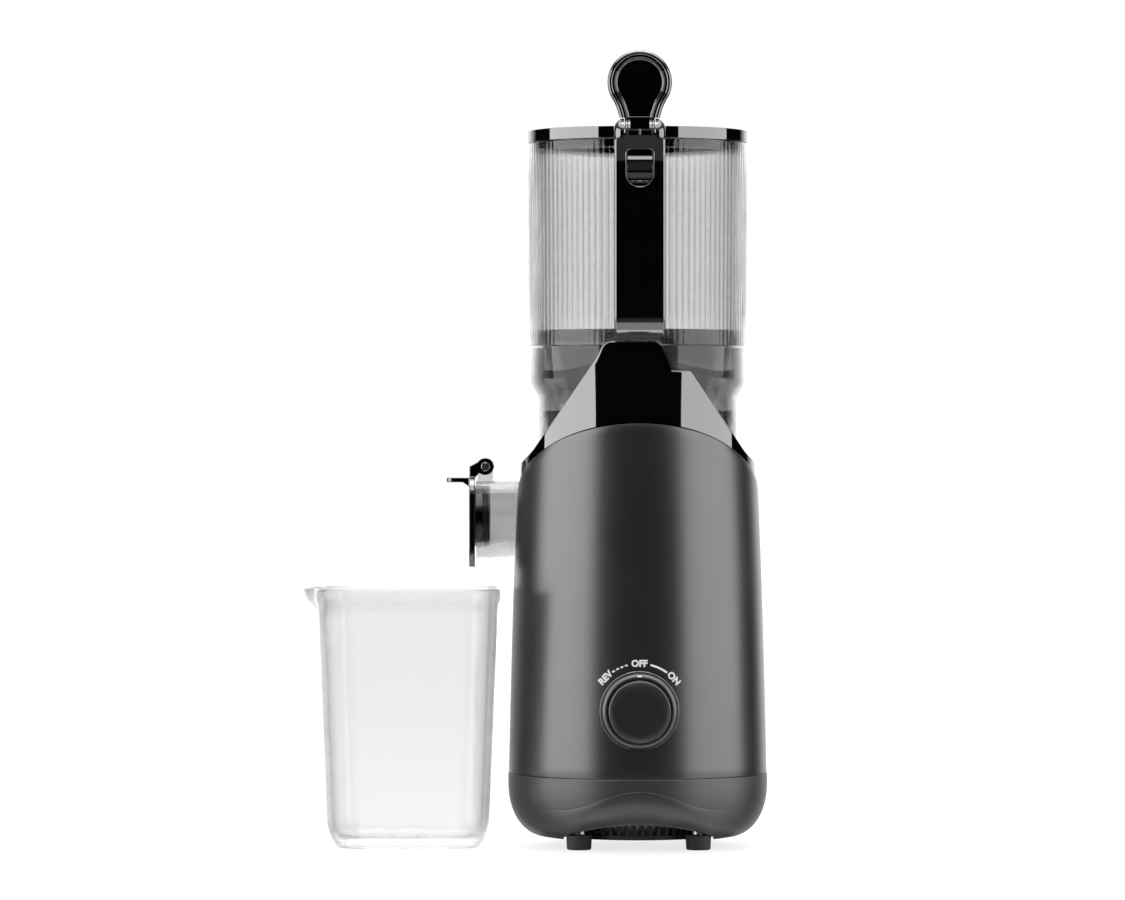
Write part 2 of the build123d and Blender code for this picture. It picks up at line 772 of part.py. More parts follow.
# ---- planetary gearbox ----
with BuildPart() as gearbox_cover:
    with BuildSketch(Plane.XY.offset(motor_top_z)):
        Circle(flange_radius)
    extrude(amount=cover_thickness)
    with BuildSketch(Plane.XY.offset(motor_top_z)):
        Circle(pocket_radius + motor_wall)
    extrude(amount=-bearing_height)
    with BuildSketch(Plane.XY.offset(motor_top_z - bearing_height)):
        Circle(pocket_radius)
    extrude(amount=bearing_height, mode=Mode.SUBTRACT)
    with BuildSketch(Plane.XY.offset(motor_top_z - bearing_height)):
        Circle(motor_shaft_radius + free_gap)
        with motor_screw_places:
            Circle(motor_screw_radius + fit_gap)
    extrude(amount=2 * cover_thickness + bearing_height, mode=Mode.SUBTRACT)

with BuildPart() as gearbox_housing:
    with BuildSketch(Plane.XZ):
        with BuildLine():
            Polyline((ring_radius + fit_gap, gearbox_flange_z), (flange_radius, gearbox_flange_z),
                     (flange_radius, gearbox_flange_z + motor_flange),
                     (ring_radius + gearbox_wall, gearbox_flange_z + motor_flange),
                     (ring_radius + gearbox_wall, gearbox_plate_z), (flange_radius, gearbox_plate_z),
                     (flange_radius, gearbox_top_z), (bush_radius + fit_gap, gearbox_top_z),
                     (bush_radius + fit_gap, bush_bottom_z), (bush_radius + gearbox_wall, bush_bottom_z),
                     (bush_radius + gearbox_wall, gearbox_plate_z), (ring_radius + fit_gap, gearbox_plate_z),
                     close=True)
        make_face()
    revolve(axis=Axis.Z)
    with BuildSketch(Plane.XY.offset(gearbox_flange_z)):
        with motor_screw_places:
            Circle(motor_screw_radius + fit_gap)
    extrude(amount=motor_flange, mode=Mode.SUBTRACT)
    with BuildSketch(Plane.XY.offset(gearbox_plate_z)):
        with PolarLocations(deck_screw_orbit, 4):
            Circle(deck_screw_radius + fit_gap)
    extrude(amount=gearbox_top_z, mode=Mode.SUBTRACT)

with BuildPart() as motor_screws:
    with BuildSketch(Plane.XY.offset(motor_top_z - motor_flange)):
        with motor_screw_places:
            Circle(motor_screw_radius)
    extrude(amount=cover_thickness + 2 * motor_flange)
    with BuildSketch(Plane.XY.offset(motor_top_z - motor_flange)):
        with motor_screw_places:
            Circle(motor_screw_head)
    extrude(amount=-motor_screw_head)

with BuildPart() as gearbox_screws:
    with BuildSketch(Plane.XY.offset(gearbox_plate_z)):
        with PolarLocations(deck_screw_orbit, 4):
            Circle(deck_screw_radius)
    extrude(amount=deck_z - gearbox_plate_z - fit_gap)
    with BuildSketch(Plane.XY.offset(gearbox_plate_z)):
        with PolarLocations(deck_screw_orbit, 4):
            Circle(deck_screw_head)
    extrude(amount=-deck_screw_head)

with BuildPart() as ring_gear:
    with BuildSketch(Plane.XY.offset(gearbox_flange_z)):
        Circle(ring_radius)
        with BuildLine():
            Polyline(*gear_outline(ring_teeth, ring_pitch_radius - tooth_tip, ring_pitch_radius + tooth_root,
                                   0), close=True)
        make_face(mode=Mode.SUBTRACT)
    extrude(amount=gear_top_z - gearbox_flange_z)

with BuildPart() as sun_gear:
    with BuildSketch(Plane.XY.offset(gear_z)):
        with BuildLine():
            Polyline(*gear_outline(sun_teeth, sun_pitch_radius + tooth_tip, sun_pitch_radius - tooth_root, 0),
                     close=True)
        make_face()
        Circle(motor_shaft_radius + press_gap, mode=Mode.SUBTRACT)
    extrude(amount=gear_width)


def planet_gear(index):
    """One planet on its pin, turned so that a space faces the sun and the ring."""
    places = PolarLocations(planet_orbit, planet_count).locations
    centre = places[index].position
    outline = gear_outline(planet_teeth, planet_pitch_radius + tooth_tip, planet_pitch_radius - tooth_root,
                           180 / planet_teeth)
    with BuildPart() as gear:
        with BuildSketch(Plane.XY.offset(gear_z)):
            with BuildLine():
                Polyline(*[(centre.X + x, centre.Y + y) for x, y in outline], close=True)
            make_face()
            with Locations((centre.X, centre.Y)):
                Circle(planet_pin_radius + run_gap, mode=Mode.SUBTRACT)
        extrude(amount=gear_width)
    return gear


planet_gears = [planet_gear(index) for index in range(planet_count)]

with BuildPart() as planet_carrier:
    with BuildSketch(Plane.XY.offset(carrier_z)):
        Circle(carrier_radius)
        Circle(spigot_radius + press_gap, mode=Mode.SUBTRACT)
    extrude(amount=carrier_thickness)
    with BuildSketch(Plane.XY.offset(gear_z)):
        with PolarLocations(planet_orbit, planet_count):
            Circle(planet_pin_radius)
    extrude(amount=carrier_z - gear_z)
    with BuildSketch(Plane.XY.offset(gear_top_z + free_gap)):
        with PolarLocations(planet_orbit, planet_count):
            Circle(planet_pin_radius + pin_shoulder)
    extrude(amount=free_gap)

with BuildPart() as output_shaft:
    with BuildSketch(Plane.XY.offset(carrier_z)):
        Circle(spigot_radius)
    extrude(amount=carrier_thickness)
    with BuildSketch(Plane.XY.offset(carrier_top_z)):
        Circle(shaft_collar_radius)
    extrude(amount=bush_bottom_z - free_gap - carrier_top_z)
    with BuildSketch(Plane.XY.offset(carrier_top_z)):
        Circle(shaft_radius)
    extrude(amount=hex_bottom_z - carrier_top_z)
    with BuildSketch(Plane.XY.offset(hex_bottom_z)):
        RegularPolygon(hex_across_corners / 2, 6)
    extrude(amount=shaft_top_z - hex_bottom_z)

with BuildPart() as output_bush:
    with BuildSketch(Plane.XY.offset(bush_bottom_z)):
        Circle(bush_radius)
        Circle(shaft_radius + run_gap, mode=Mode.SUBTRACT)
    extrude(amount=gearbox_top_z - bush_bottom_z)

with BuildPart() as shaft_seal:
    with BuildSketch(Plane.XY.offset(gearbox_top_z)):
        Circle(seal_radius)
        Circle(shaft_radius + free_gap, mode=Mode.SUBTRACT)
    extrude(amount=deck_thickness)

with BuildPart() as safety_switch:
    with BuildSketch(Plane.XY.offset(gearbox_top_z)):
        with Locations((safety_switch_x, 0)):
            RectangleRounded(safety_switch_width, safety_switch_length, switch_corner / 2)
    extrude(amount=-safety_switch_height)
    with BuildSketch(Plane.XY.offset(gearbox_top_z - safety_switch_height)):
        with Locations((safety_switch_x, 0)):
            with GridLocations(0, safety_switch_length / 3, 1, 3):
                Rectangle(safety_switch_width / 2, terminal_thickness)
    extrude(amount=-switch_tab)


# ---- juice bowl with its spout and pulp chute ----
bowl_bore = bowl_radius - bowl_wall
rim_bore = bowl_rim_radius - bowl_wall
bowl_floor_top_z = bowl_floor_z + bowl_floor
spout_end = -spout_end_x

with BuildPart() as spout_block:
    with BuildSketch(Plane.XZ.offset(-spout_y - spout_half_width)):
        with BuildLine():
            Polyline((spout_end, spout_bottom_z), (spout_end, spout_top_z), (-cradle_bore / 2, spout_top_z),
                     (-cradle_bore / 2, spout_bottom_z + spout_rise), close=True)
        make_face()
    extrude(amount=2 * spout_half_width)
    long_edges = [edge for edge in spout_block.edges() if edge.length > cradle_bore]
    fillet(long_edges, radius=spout_corner)

with BuildPart() as juice_bowl:
    with BuildSketch(Plane.XY.offset(deck_z)):
        Circle(bowl_radius)
    extrude(amount=bowl_neck_z - deck_z)
    add(spout_block.part)
    with BuildSketch(Plane.XZ.offset(-chute_end_y)):
        with Locations((0, (bowl_floor_z + chute_top_z) / 2)):
            RectangleRounded(2 * chute_half_width, chute_top_z - bowl_floor_z, chute_corner)
    extrude(amount=chute_end_y - bowl_bore / 2)
    with BuildSketch(Plane.XZ):
        with BuildLine():
            Polyline((0, bowl_neck_z), (bowl_radius, bowl_neck_z), (bowl_rim_radius, bowl_step_z),
                     (bowl_rim_radius, bowl_rim_z), (0, bowl_rim_z), close=True)
        make_face()
    revolve(axis=Axis.Z)
    with BuildSketch(Plane.XZ):
        with BuildLine():
            Polyline((0, bowl_floor_top_z), (bowl_bore, bowl_floor_top_z), (bowl_bore, bowl_neck_z + 1),
                     (rim_bore, bowl_step_z + 1), (rim_bore, bowl_rim_z), (0, bowl_rim_z), close=True)
        make_face()
    revolve(axis=Axis.Z, mode=Mode.SUBTRACT)
    with BuildSketch(Plane.XY.offset(deck_z)):
        Circle(bowl_bore)
    extrude(amount=bowl_floor_z - deck_z, mode=Mode.SUBTRACT)
    with BuildSketch(Plane.XY.offset(hub_bottom_z)):
        Circle(hub_bore + hub_wall)
    extrude(amount=hub_top_z - hub_bottom_z)
    with BuildSketch(Plane.XY.offset(hub_bottom_z)):
        Circle(hub_bore)
    extrude(amount=hub_top_z - hub_bottom_z, mode=Mode.SUBTRACT)
    with BuildSketch(Plane.XZ.offset(-chute_end_y)):
        with Locations((0, (bowl_floor_top_z + chute_top_z - bowl_wall) / 2)):
            RectangleRounded(2 * (chute_half_width - bowl_wall), chute_top_z - bowl_wall - bowl_floor_top_z,
                             chute_corner - bowl_wall)
    extrude(amount=chute_end_y - bowl_bore / 2, mode=Mode.SUBTRACT)
    with BuildSketch(Plane.XZ.offset(-spout_y - post_half_width)):
        with Locations((-cap_pin_x, cap_pin_z)):
            Circle(post_radius)
        with Locations((-cap_pin_x, (cap_pin_z + spout_top_z) / 2 - bowl_wall / 2)):
            Rectangle(2 * post_radius, cap_pin_z - spout_top_z + bowl_wall)
        with Locations((-cap_pin_x, cap_pin_z)):
            Circle(cap_pin_radius + press_gap, mode=Mode.SUBTRACT)
    extrude(amount=2 * post_half_width)
    with BuildSketch(Plane.YZ.offset(spout_end)):
        with Locations((spout_y, spout_bore_z)):
            Circle(spout_bore_radius)
    extrude(amount=spout_end_x - bowl_bore / 2, mode=Mode.SUBTRACT)
    with BuildSketch(Plane.YZ.offset(spout_end)):
        with Locations((spout_y, spout_bore_z)):
            Circle(spout_bore_radius + spout_lead)
    extrude(amount=spout_lead_depth, taper=math.degrees(math.atan(spout_lead / spout_lead_depth)),
            mode=Mode.SUBTRACT)

with BuildPart() as bowl_gasket:
    with BuildSketch(Plane.XY.offset(bowl_floor_top_z)):
        Circle(hub_bore + hub_wall + gasket_width)
        Circle(hub_bore + hub_wall + fit_gap, mode=Mode.SUBTRACT)
    extrude(amount=gasket_height)
    fillet(bowl_gasket.faces().sort_by(Axis.Z)[-1].edges(), radius=gasket_edge)

# ---- spout cap ----
cap_face = spout_end - free_gap
plug_end = cap_face + cap_plug_depth
hook_offset = post_half_width + free_gap + cap_hook_width / 2

with BuildPart() as spout_cap:
    with BuildSketch(Plane.YZ.offset(cap_face - cap_thickness)):
        with Locations((spout_y, (cap_top_z + cap_bottom_z) / 2)):
            RectangleRounded(2 * (spout_half_width + cap_edge), cap_top_z - cap_bottom_z, spout_corner)
    extrude(amount=cap_thickness)
    with BuildSketch(Plane.YZ.offset(cap_face)):
        with Locations((spout_y, spout_bore_z)):
            Circle(plug_radius)
            Circle(plug_radius - bowl_wall, mode=Mode.SUBTRACT)
    extrude(amount=cap_plug_depth)
    with BuildSketch(Plane.YZ.offset(cap_face)):
        with Locations((spout_y, spout_bore_z)):
            Circle(plug_radius)
    extrude(amount=bowl_wall)
    with BuildSketch(Plane.YZ.offset(plug_end - seal_width - seal_lip)):
        with Locations((spout_y, spout_bore_z)):
            Circle(plug_radius)
            Circle(plug_radius - seal_groove, mode=Mode.SUBTRACT)
    extrude(amount=seal_width, mode=Mode.SUBTRACT)
    for hook_y in (spout_y - hook_offset, spout_y + hook_offset):
        with BuildSketch(Plane.XZ.offset(-hook_y - cap_hook_width / 2)):
            with BuildLine():
                Polyline((cap_face - cap_thickness, cap_hook_z), (cap_face, cap_hook_z),
                         (cap_face, cap_top_z), (-cap_pin_x, cap_pin_z),
                         (-cap_pin_x, cap_pin_z + cap_hook_radius),
                         (cap_face - cap_thickness, cap_pin_z), close=True)
            make_face()
            with Locations((-cap_pin_x, cap_pin_z)):
                Circle(cap_hook_radius)
                Circle(cap_pin_radius + run_gap, mode=Mode.SUBTRACT)
        extrude(amount=cap_hook_width)
    with BuildSketch(Plane.XZ.offset(-spout_y - cap_tab_half_width)):
        with BuildLine():
            Polyline((cap_face - cap_thickness / 2, cap_top_z), (-cap_tab_x, cap_top_z),
                     (-cap_tab_x, cap_top_z - cap_tab_thickness),
                     (cap_face - cap_thickness - cap_tab_web, cap_top_z - cap_tab_thickness),
                     (cap_face - cap_thickness / 2, cap_top_z - cap_tab_thickness - cap_tab_web), close=True)
        make_face()
    extrude(amount=2 * cap_tab_half_width)
    tab_corners = spout_cap.edges().filter_by(Axis.Z).sort_by(Axis.X)[:2]
    fillet(tab_corners, radius=cap_tab_half_width / 2)

with BuildPart() as cap_seal:
    with BuildSketch(Plane.YZ.offset(plug_end - seal_width - seal_lip + fit_gap)):
        with Locations((spout_y, spout_bore_z)):
            Circle(spout_bore_radius - free_gap)
            Circle(plug_radius - seal_groove + fit_gap, mode=Mode.SUBTRACT)
    extrude(amount=seal_width - 2 * fit_gap)
    fillet(cap_seal.edges().filter_by(GeomType.CIRCLE).sort_by(SortBy.RADIUS)[-2:], radius=seal_edge)

with BuildPart() as cap_pin:
    with BuildSketch(Plane.XZ.offset(-spout_y - post_half_width - free_gap - cap_hook_width)):
        with Locations((-cap_pin_x, cap_pin_z)):
            Circle(cap_pin_radius)
    extrude(amount=2 * (post_half_width + free_gap + cap_hook_width))

# ---- strainer ----
strainer_top_radius = bowl_bore - free_gap - strainer_rim_reach
strainer_window_height = strainer_top_z - strainer_floor_z - 2 * strainer_band
mesh_gap = strainer_wall + fit_gap

with BuildPart() as strainer_frame:
    with BuildSketch(Plane.XZ):
        with BuildLine():
            Polyline((strainer_floor_bore, bowl_floor_top_z), (strainer_floor_radius, bowl_floor_top_z),
                     (strainer_top_radius, strainer_top_z),
                     (strainer_top_radius - strainer_wall, strainer_top_z),
                     (strainer_floor_radius - strainer_wall, strainer_floor_z),
                     (strainer_floor_bore, strainer_floor_z), close=True)
        make_face()
    revolve(axis=Axis.Z)
    with BuildSketch(Plane.XY.offset(strainer_floor_z + strainer_band)):
        with PolarLocations(strainer_top_radius, strainer_windows, start_angle=180 / strainer_windows):
            Rectangle(6 * strainer_wall, strainer_window_width)
    extrude(amount=strainer_window_height, mode=Mode.SUBTRACT)
    with BuildSketch(Plane.XY.offset(strainer_top_z - strainer_rim_height)):
        Circle(bowl_bore - free_gap)
        Circle(strainer_top_radius - strainer_wall, mode=Mode.SUBTRACT)
    extrude(amount=strainer_rim_height)

with BuildPart() as strainer_mesh:
    with BuildSketch(Plane.XZ):
        with BuildLine():
            Polyline((strainer_floor_radius - mesh_gap, strainer_floor_z),
                     (strainer_top_radius - mesh_gap, strainer_top_z),
                     (strainer_top_radius - mesh_gap - mesh_wall, strainer_top_z),
                     (strainer_floor_radius - mesh_gap - mesh_wall, strainer_floor_z), close=True)
        make_face()
    revolve(axis=Axis.Z)

# ---- auger ----
mesh_bore = strainer_floor_radius - mesh_gap - mesh_wall
flight_radius = min(mesh_bore, funnel_neck_radius - funnel_wall) - free_gap
flight_z = auger_floor_z + flight_thickness / 2 + flight_inset
socket_bottom_z = hub_top_z + free_gap
socket_top_z = shaft_top_z + socket_roof

with BuildPart() as auger:
    with BuildSketch(Plane.XZ):
        with BuildLine():
            core_side = Spline((auger_core_floor_radius, auger_floor_z),
                               (auger_core_middle_radius, (auger_floor_z + auger_top_z) / 2),
                               (auger_core_top_radius, auger_top_z))
            Polyline(core_side @ 1, (journal_radius, auger_top_z), (journal_radius, journal_top_z),
                     (0, journal_top_z), (0, auger_floor_z), core_side @ 0)
        make_face()
    revolve(axis=Axis.Z)
    with BuildLine(Plane.XY.offset(flight_z)):
        flight_path = Helix(flight_pitch, auger_top_z - auger_floor_z - flight_thickness - 2 * flight_inset,
                            flight_radius / 2)
    with BuildSketch(Plane.XZ):
        with Locations(((flight_radius + flight_root) / 2, flight_z)):
            Rectangle(flight_radius - flight_root, flight_thickness)
    sweep(path=flight_path, is_frenet=True)
    with BuildSketch(Plane.XY.offset(auger_floor_z)):
        Circle(hub_bore + hub_wall + hub_room)
    extrude(amount=socket_bottom_z - auger_floor_z, mode=Mode.SUBTRACT)
    with BuildSketch(Plane.XY.offset(auger_floor_z)):
        Circle(socket_radius + fit_gap)
    extrude(amount=socket_top_z - auger_floor_z + fit_gap, mode=Mode.SUBTRACT)

with BuildPart() as drive_socket:
    with BuildSketch(Plane.XY.offset(socket_bottom_z)):
        Circle(socket_radius)
    extrude(amount=socket_top_z - socket_bottom_z)
    with BuildSketch(Plane.XY.offset(socket_bottom_z)):
        RegularPolygon(hex_across_corners / 2 + free_gap, 6)
    extrude(amount=shaft_top_z + free_gap - socket_bottom_z, mode=Mode.SUBTRACT)


# ---- hopper ----
hopper_bottom_z = bowl_rim_z + free_gap
hopper_bore = hopper_radius - hopper_wall_thickness
handle_seat = hopper_radius + fit_gap

with BuildPart() as hopper_wall:
    with BuildSketch(Plane.XZ):
        with BuildLine():
            Polyline((hopper_bore - hopper_draft, hopper_bottom_z),
                     (hopper_radius - hopper_draft, hopper_bottom_z), (hopper_radius, hopper_top_z),
                     (hopper_bore, hopper_top_z), close=True)
        make_face()
    revolve(axis=Axis.Z)
    with BuildSketch(Plane.XZ.offset(hopper_radius - hopper_wall_thickness / 2)):
        with Locations((0, bottom_arm_z), (0, top_arm_z)):
            Rectangle(2 * handle_lug_half_width, handle_lug_height)
    extrude(amount=handle_lug_reach)

with BuildPart() as hopper_floor:
    with BuildSketch(Plane.XZ):
        with BuildLine():
            Polyline((hopper_bore - hopper_draft - fit_gap, hopper_bottom_z),
                     (hopper_bore - hopper_draft - fit_gap, hopper_floor_top_z),
                     (hopper_bore - hopper_draft - fit_gap - funnel_wall, hopper_floor_top_z),
                     (funnel_top_radius - funnel_wall, hopper_bottom_z + funnel_wall),
                     (funnel_neck_radius - funnel_wall, funnel_bottom_z),
                     (funnel_neck_radius, funnel_bottom_z), (funnel_top_radius, hopper_bottom_z),
                     close=True)
        make_face()
    revolve(axis=Axis.Z)
    with BuildSketch(Plane.XY.offset(hopper_bottom_z)):
        Circle(funnel_top_radius)
    extrude(amount=funnel_wall)
    with BuildSketch(Plane.XY.offset(hopper_bottom_z)):
        Circle(feed_radius)
        with Locations((feed_edge_x - 2 * feed_radius, 0)):
            Rectangle(4 * feed_radius, 4 * feed_radius, mode=Mode.SUBTRACT)
    extrude(amount=funnel_wall, mode=Mode.SUBTRACT)
    with BuildSketch(Plane.XY.offset(hopper_bottom_z)):
        Circle(journal_radius + run_gap + journal_wall)
    extrude(amount=-journal_length)
    with BuildSketch(Plane.XY.offset(hopper_bottom_z)):
        Circle(journal_radius + run_gap)
    extrude(amount=-journal_length, mode=Mode.SUBTRACT)
    with BuildSketch(Plane.XY.offset(lock_lug_z)):
        with PolarLocations(rim_bore - lock_lug_reach / 3, lock_lugs, start_angle=lock_lug_angle):
            Rectangle(lock_lug_reach, lock_lug_width)
    extrude(amount=lock_lug_height)
    with BuildSketch(Plane.XY.offset(lock_lug_z)):
        Circle(bowl_rim_radius + funnel_wall)
        Circle(rim_bore - free_gap, mode=Mode.SUBTRACT)
    extrude(amount=lock_lug_height, mode=Mode.SUBTRACT)

# ---- handle with the lid hinge ----
handle_inner_y = handle_front_y - handle_depth
ear_gap = knuckle_half_width + free_gap
grip_end_y = cradle_bore - 2 * grip_corner

with BuildPart() as handle:
    with BuildSketch(Plane.YZ.offset(-handle_half_width)) as handle_side:
        with BuildLine():
            Polyline((-cradle_bore, handle_bottom_z), (-handle_front_y, handle_bottom_z),
                     (-handle_front_y, handle_top_bend_z), (-hinge_y - hinge_radius, hinge_z),
                     (-hinge_y, hinge_z), (-hinge_y, top_arm_top_z), (-cradle_bore, top_arm_top_z),
                     close=True)
        make_face()
        bends = [handle_side.vertices().sort_by_distance((-handle_front_y, z))[0]
                 for z in (handle_bottom_z, handle_top_bend_z)]
        fillet(bends, radius=handle_corner)
        with Locations((-(handle_inner_y + grip_end_y) / 2, (bottom_arm_z + top_arm_z) / 2)):
            RectangleRounded(handle_inner_y - grip_end_y, top_arm_z - bottom_arm_z - arm_height, grip_corner,
                             mode=Mode.SUBTRACT)
        with Locations((-hinge_y, hinge_z)):
            Circle(hinge_radius)
    extrude(amount=2 * handle_half_width)
    with BuildSketch(Plane.XY):
        Circle(handle_seat)
    extrude(amount=2 * hopper_top_z, mode=Mode.SUBTRACT)
    with BuildSketch(Plane.YZ.offset(-ear_gap)):
        with Locations((-hinge_y, hinge_z)):
            Circle(hinge_radius + free_gap)
    extrude(amount=2 * ear_gap, mode=Mode.SUBTRACT)
    with BuildSketch(Plane.YZ.offset(-handle_half_width)):
        with Locations((-hinge_y, hinge_z)):
            Circle(hinge_pin_radius + press_gap)
    extrude(amount=2 * handle_half_width, mode=Mode.SUBTRACT)
    with BuildSketch(Plane.XZ.offset(cradle_bore)):
        with Locations((0, bottom_arm_z), (0, top_arm_z)):
            Rectangle(2 * handle_lug_half_width + 2 * fit_gap, handle_lug_height + 2 * fit_gap)
    extrude(amount=hopper_radius - cradle_bore + handle_lug_reach, mode=Mode.SUBTRACT)
    with BuildSketch(Plane.XZ.offset(handle_front_y)):
        with Locations((0, (cover_bottom_z + cover_top_z) / 2)):
            RectangleRounded(2 * cover_half_width + 2 * fit_gap, cover_top_z - cover_bottom_z + 2 * fit_gap,
                             cover_half_width - fit_gap)
    extrude(amount=-cover_depth, mode=Mode.SUBTRACT)

with BuildPart() as hinge_cover:
    with BuildSketch(Plane.XZ.offset(handle_front_y - cover_depth)):
        with Locations((0, (cover_bottom_z + cover_top_z) / 2)):
            RectangleRounded(2 * cover_half_width, cover_top_z - cover_bottom_z, cover_half_width - fit_gap)
    extrude(amount=cover_depth)

with BuildPart() as hinge_pin:
    with BuildSketch(Plane.YZ.offset(-handle_half_width + fit_gap)):
        with Locations((-hinge_y, hinge_z)):
            Circle(hinge_pin_radius)
    extrude(amount=2 * (handle_half_width - fit_gap))

# ---- lid with the thumb lever ----
lid_radius = hopper_radius + lid_overhang
lid_bottom_z = hopper_top_z + lid_seat_gap
plug_outer_radius = hopper_bore - free_gap
paddle_bottom_z = hinge_z + hinge_radius + free_gap

with BuildPart() as lid:
    with BuildSketch(Plane.XZ):
        with BuildLine():
            Polyline((0, lid_rim_z - lid_wall), (0, lid_rim_z - 2 * lid_wall),
                     (plug_outer_radius - lid_wall, lid_rim_z - 2 * lid_wall),
                     (plug_outer_radius - lid_wall, hopper_top_z - lid_plug_depth),
                     (plug_outer_radius, hopper_top_z - lid_plug_depth), (plug_outer_radius, lid_bottom_z),
                     (lid_radius, lid_bottom_z), (lid_radius, lid_rim_z),
                     (lid_radius - 3 * lid_wall, lid_rim_z),
                     (lid_radius - 4 * lid_wall, lid_rim_z - lid_wall),
                     close=True)
        make_face()
    revolve(axis=Axis.Z)
    with BuildSketch(Plane.YZ.offset(-knuckle_half_width)):
        with BuildLine():
            Polyline((-lid_radius + 2 * lid_wall, lid_bottom_z), (-lid_radius + 2 * lid_wall, lid_rim_z),
                     (-hinge_y, lid_rim_z), (-hinge_y, lid_bottom_z), close=True)
        make_face()
        with Locations((-hinge_y, hinge_z)):
            Circle(hinge_radius)
    extrude(amount=2 * knuckle_half_width)
    with BuildSketch(Plane.YZ.offset(-handle_half_width)):
        with Locations((-hinge_y, hinge_z)):
            Circle(hinge_pin_radius + run_gap)
    extrude(amount=2 * handle_half_width, mode=Mode.SUBTRACT)
    with BuildSketch(Plane.XY.offset(hinge_z + hinge_radius - lever_foot_height - fit_gap)):
        with Locations((0, -hinge_y)):
            Rectangle(2 * lever_foot_half_width + 2 * fit_gap, lever_foot_depth + 2 * fit_gap)
    extrude(amount=lever_foot_height + 2 * fit_gap, mode=Mode.SUBTRACT)

with BuildPart() as thumb_lever:
    with BuildSketch(Plane.XZ.offset(hinge_y - paddle_thickness / 2)):
        with Locations((0, paddle_z)):
            Circle(paddle_radius)
        with BuildLine():
            Polyline((-paddle_neck_half_width, paddle_bottom_z),
                     (paddle_neck_half_width, paddle_bottom_z),
                     (paddle_shoulder, paddle_z - paddle_shoulder_drop),
                     (-paddle_shoulder, paddle_z - paddle_shoulder_drop), close=True)
        make_face()
    extrude(amount=paddle_thickness)
    with BuildSketch(Plane.XZ.offset(hinge_y + paddle_thickness / 2)):
        with Locations((0, paddle_z)):
            Circle(paddle_radius - paddle_bead)
        with BuildLine():
            Polyline((paddle_bead - paddle_neck_half_width, paddle_bottom_z + paddle_bead),
                     (paddle_neck_half_width - paddle_bead, paddle_bottom_z + paddle_bead),
                     (paddle_shoulder - paddle_bead, paddle_z - paddle_shoulder_drop),
                     (paddle_bead - paddle_shoulder, paddle_z - paddle_shoulder_drop), close=True)
        make_face()
    extrude(amount=-paddle_recess, mode=Mode.SUBTRACT)
    with BuildSketch(Plane.XY.offset(hinge_z + hinge_radius - lever_foot_height)):
        with Locations((0, -hinge_y)):
            Rectangle(2 * lever_foot_half_width, lever_foot_depth)
    extrude(amount=lever_foot_height + free_gap)


# ---- juice jug ----
def jug_section(z, size, corner):
    """A rounded square across the jug at one height."""
    with BuildSketch(Plane.XY.offset(z)) as section:
        with Locations((jug_x, 0)):
            RectangleRounded(size, size, corner)
    return section.sketch


def jug_lip_section(z, reach, inset):
    """The blunt triangle of the pouring lip at one height."""
    wall_x = jug_x - jug_top / 2 + jug_lip_root + inset
    tip_x = jug_x - jug_top / 2 - reach + math.sqrt(2) * inset
    half_width = reach + jug_lip_root + jug_wall - inset
    with BuildSketch(Plane.XY.offset(z)) as section:
        with BuildLine():
            Polyline((wall_x, -half_width), (tip_x, -jug_lip_tip), (tip_x, jug_lip_tip),
                     (wall_x, half_width), close=True)
        make_face()
    return section.sketch


jug_lip_foot_z = jug_height - jug_lip_height

with BuildPart() as juice_jug:
    loft([jug_section(0, jug_base - 2 * jug_base_slant, jug_corner),
          jug_section(jug_chamfer_z, jug_base, jug_corner)])
    loft([jug_section(jug_chamfer_z, jug_base, jug_corner), jug_section(jug_height, jug_top, jug_corner)])
    with BuildSketch(Plane.XY.offset(jug_height - jug_rim_height)):
        with Locations((jug_x, 0)):
            RectangleRounded(jug_top + jug_rim, jug_top + jug_rim, jug_corner)
    extrude(amount=jug_rim_height)
    loft([jug_lip_section(jug_lip_foot_z, jug_lip_bottom, 0), jug_lip_section(jug_height, jug_lip, 0)])
    inner_corner = jug_corner - jug_wall
    loft([jug_section(jug_floor, jug_base - 2 * jug_base_slant, inner_corner),
          jug_section(jug_chamfer_z, jug_base - 2 * jug_wall, inner_corner)], mode=Mode.SUBTRACT)
    loft([jug_section(jug_chamfer_z, jug_base - 2 * jug_wall, inner_corner),
          jug_section(jug_height, jug_top - 2 * jug_wall, inner_corner)], mode=Mode.SUBTRACT)
    loft([jug_lip_section(jug_lip_foot_z, jug_lip_bottom, jug_wall),
          jug_lip_section(jug_height, jug_lip, jug_wall)], mode=Mode.SUBTRACT)

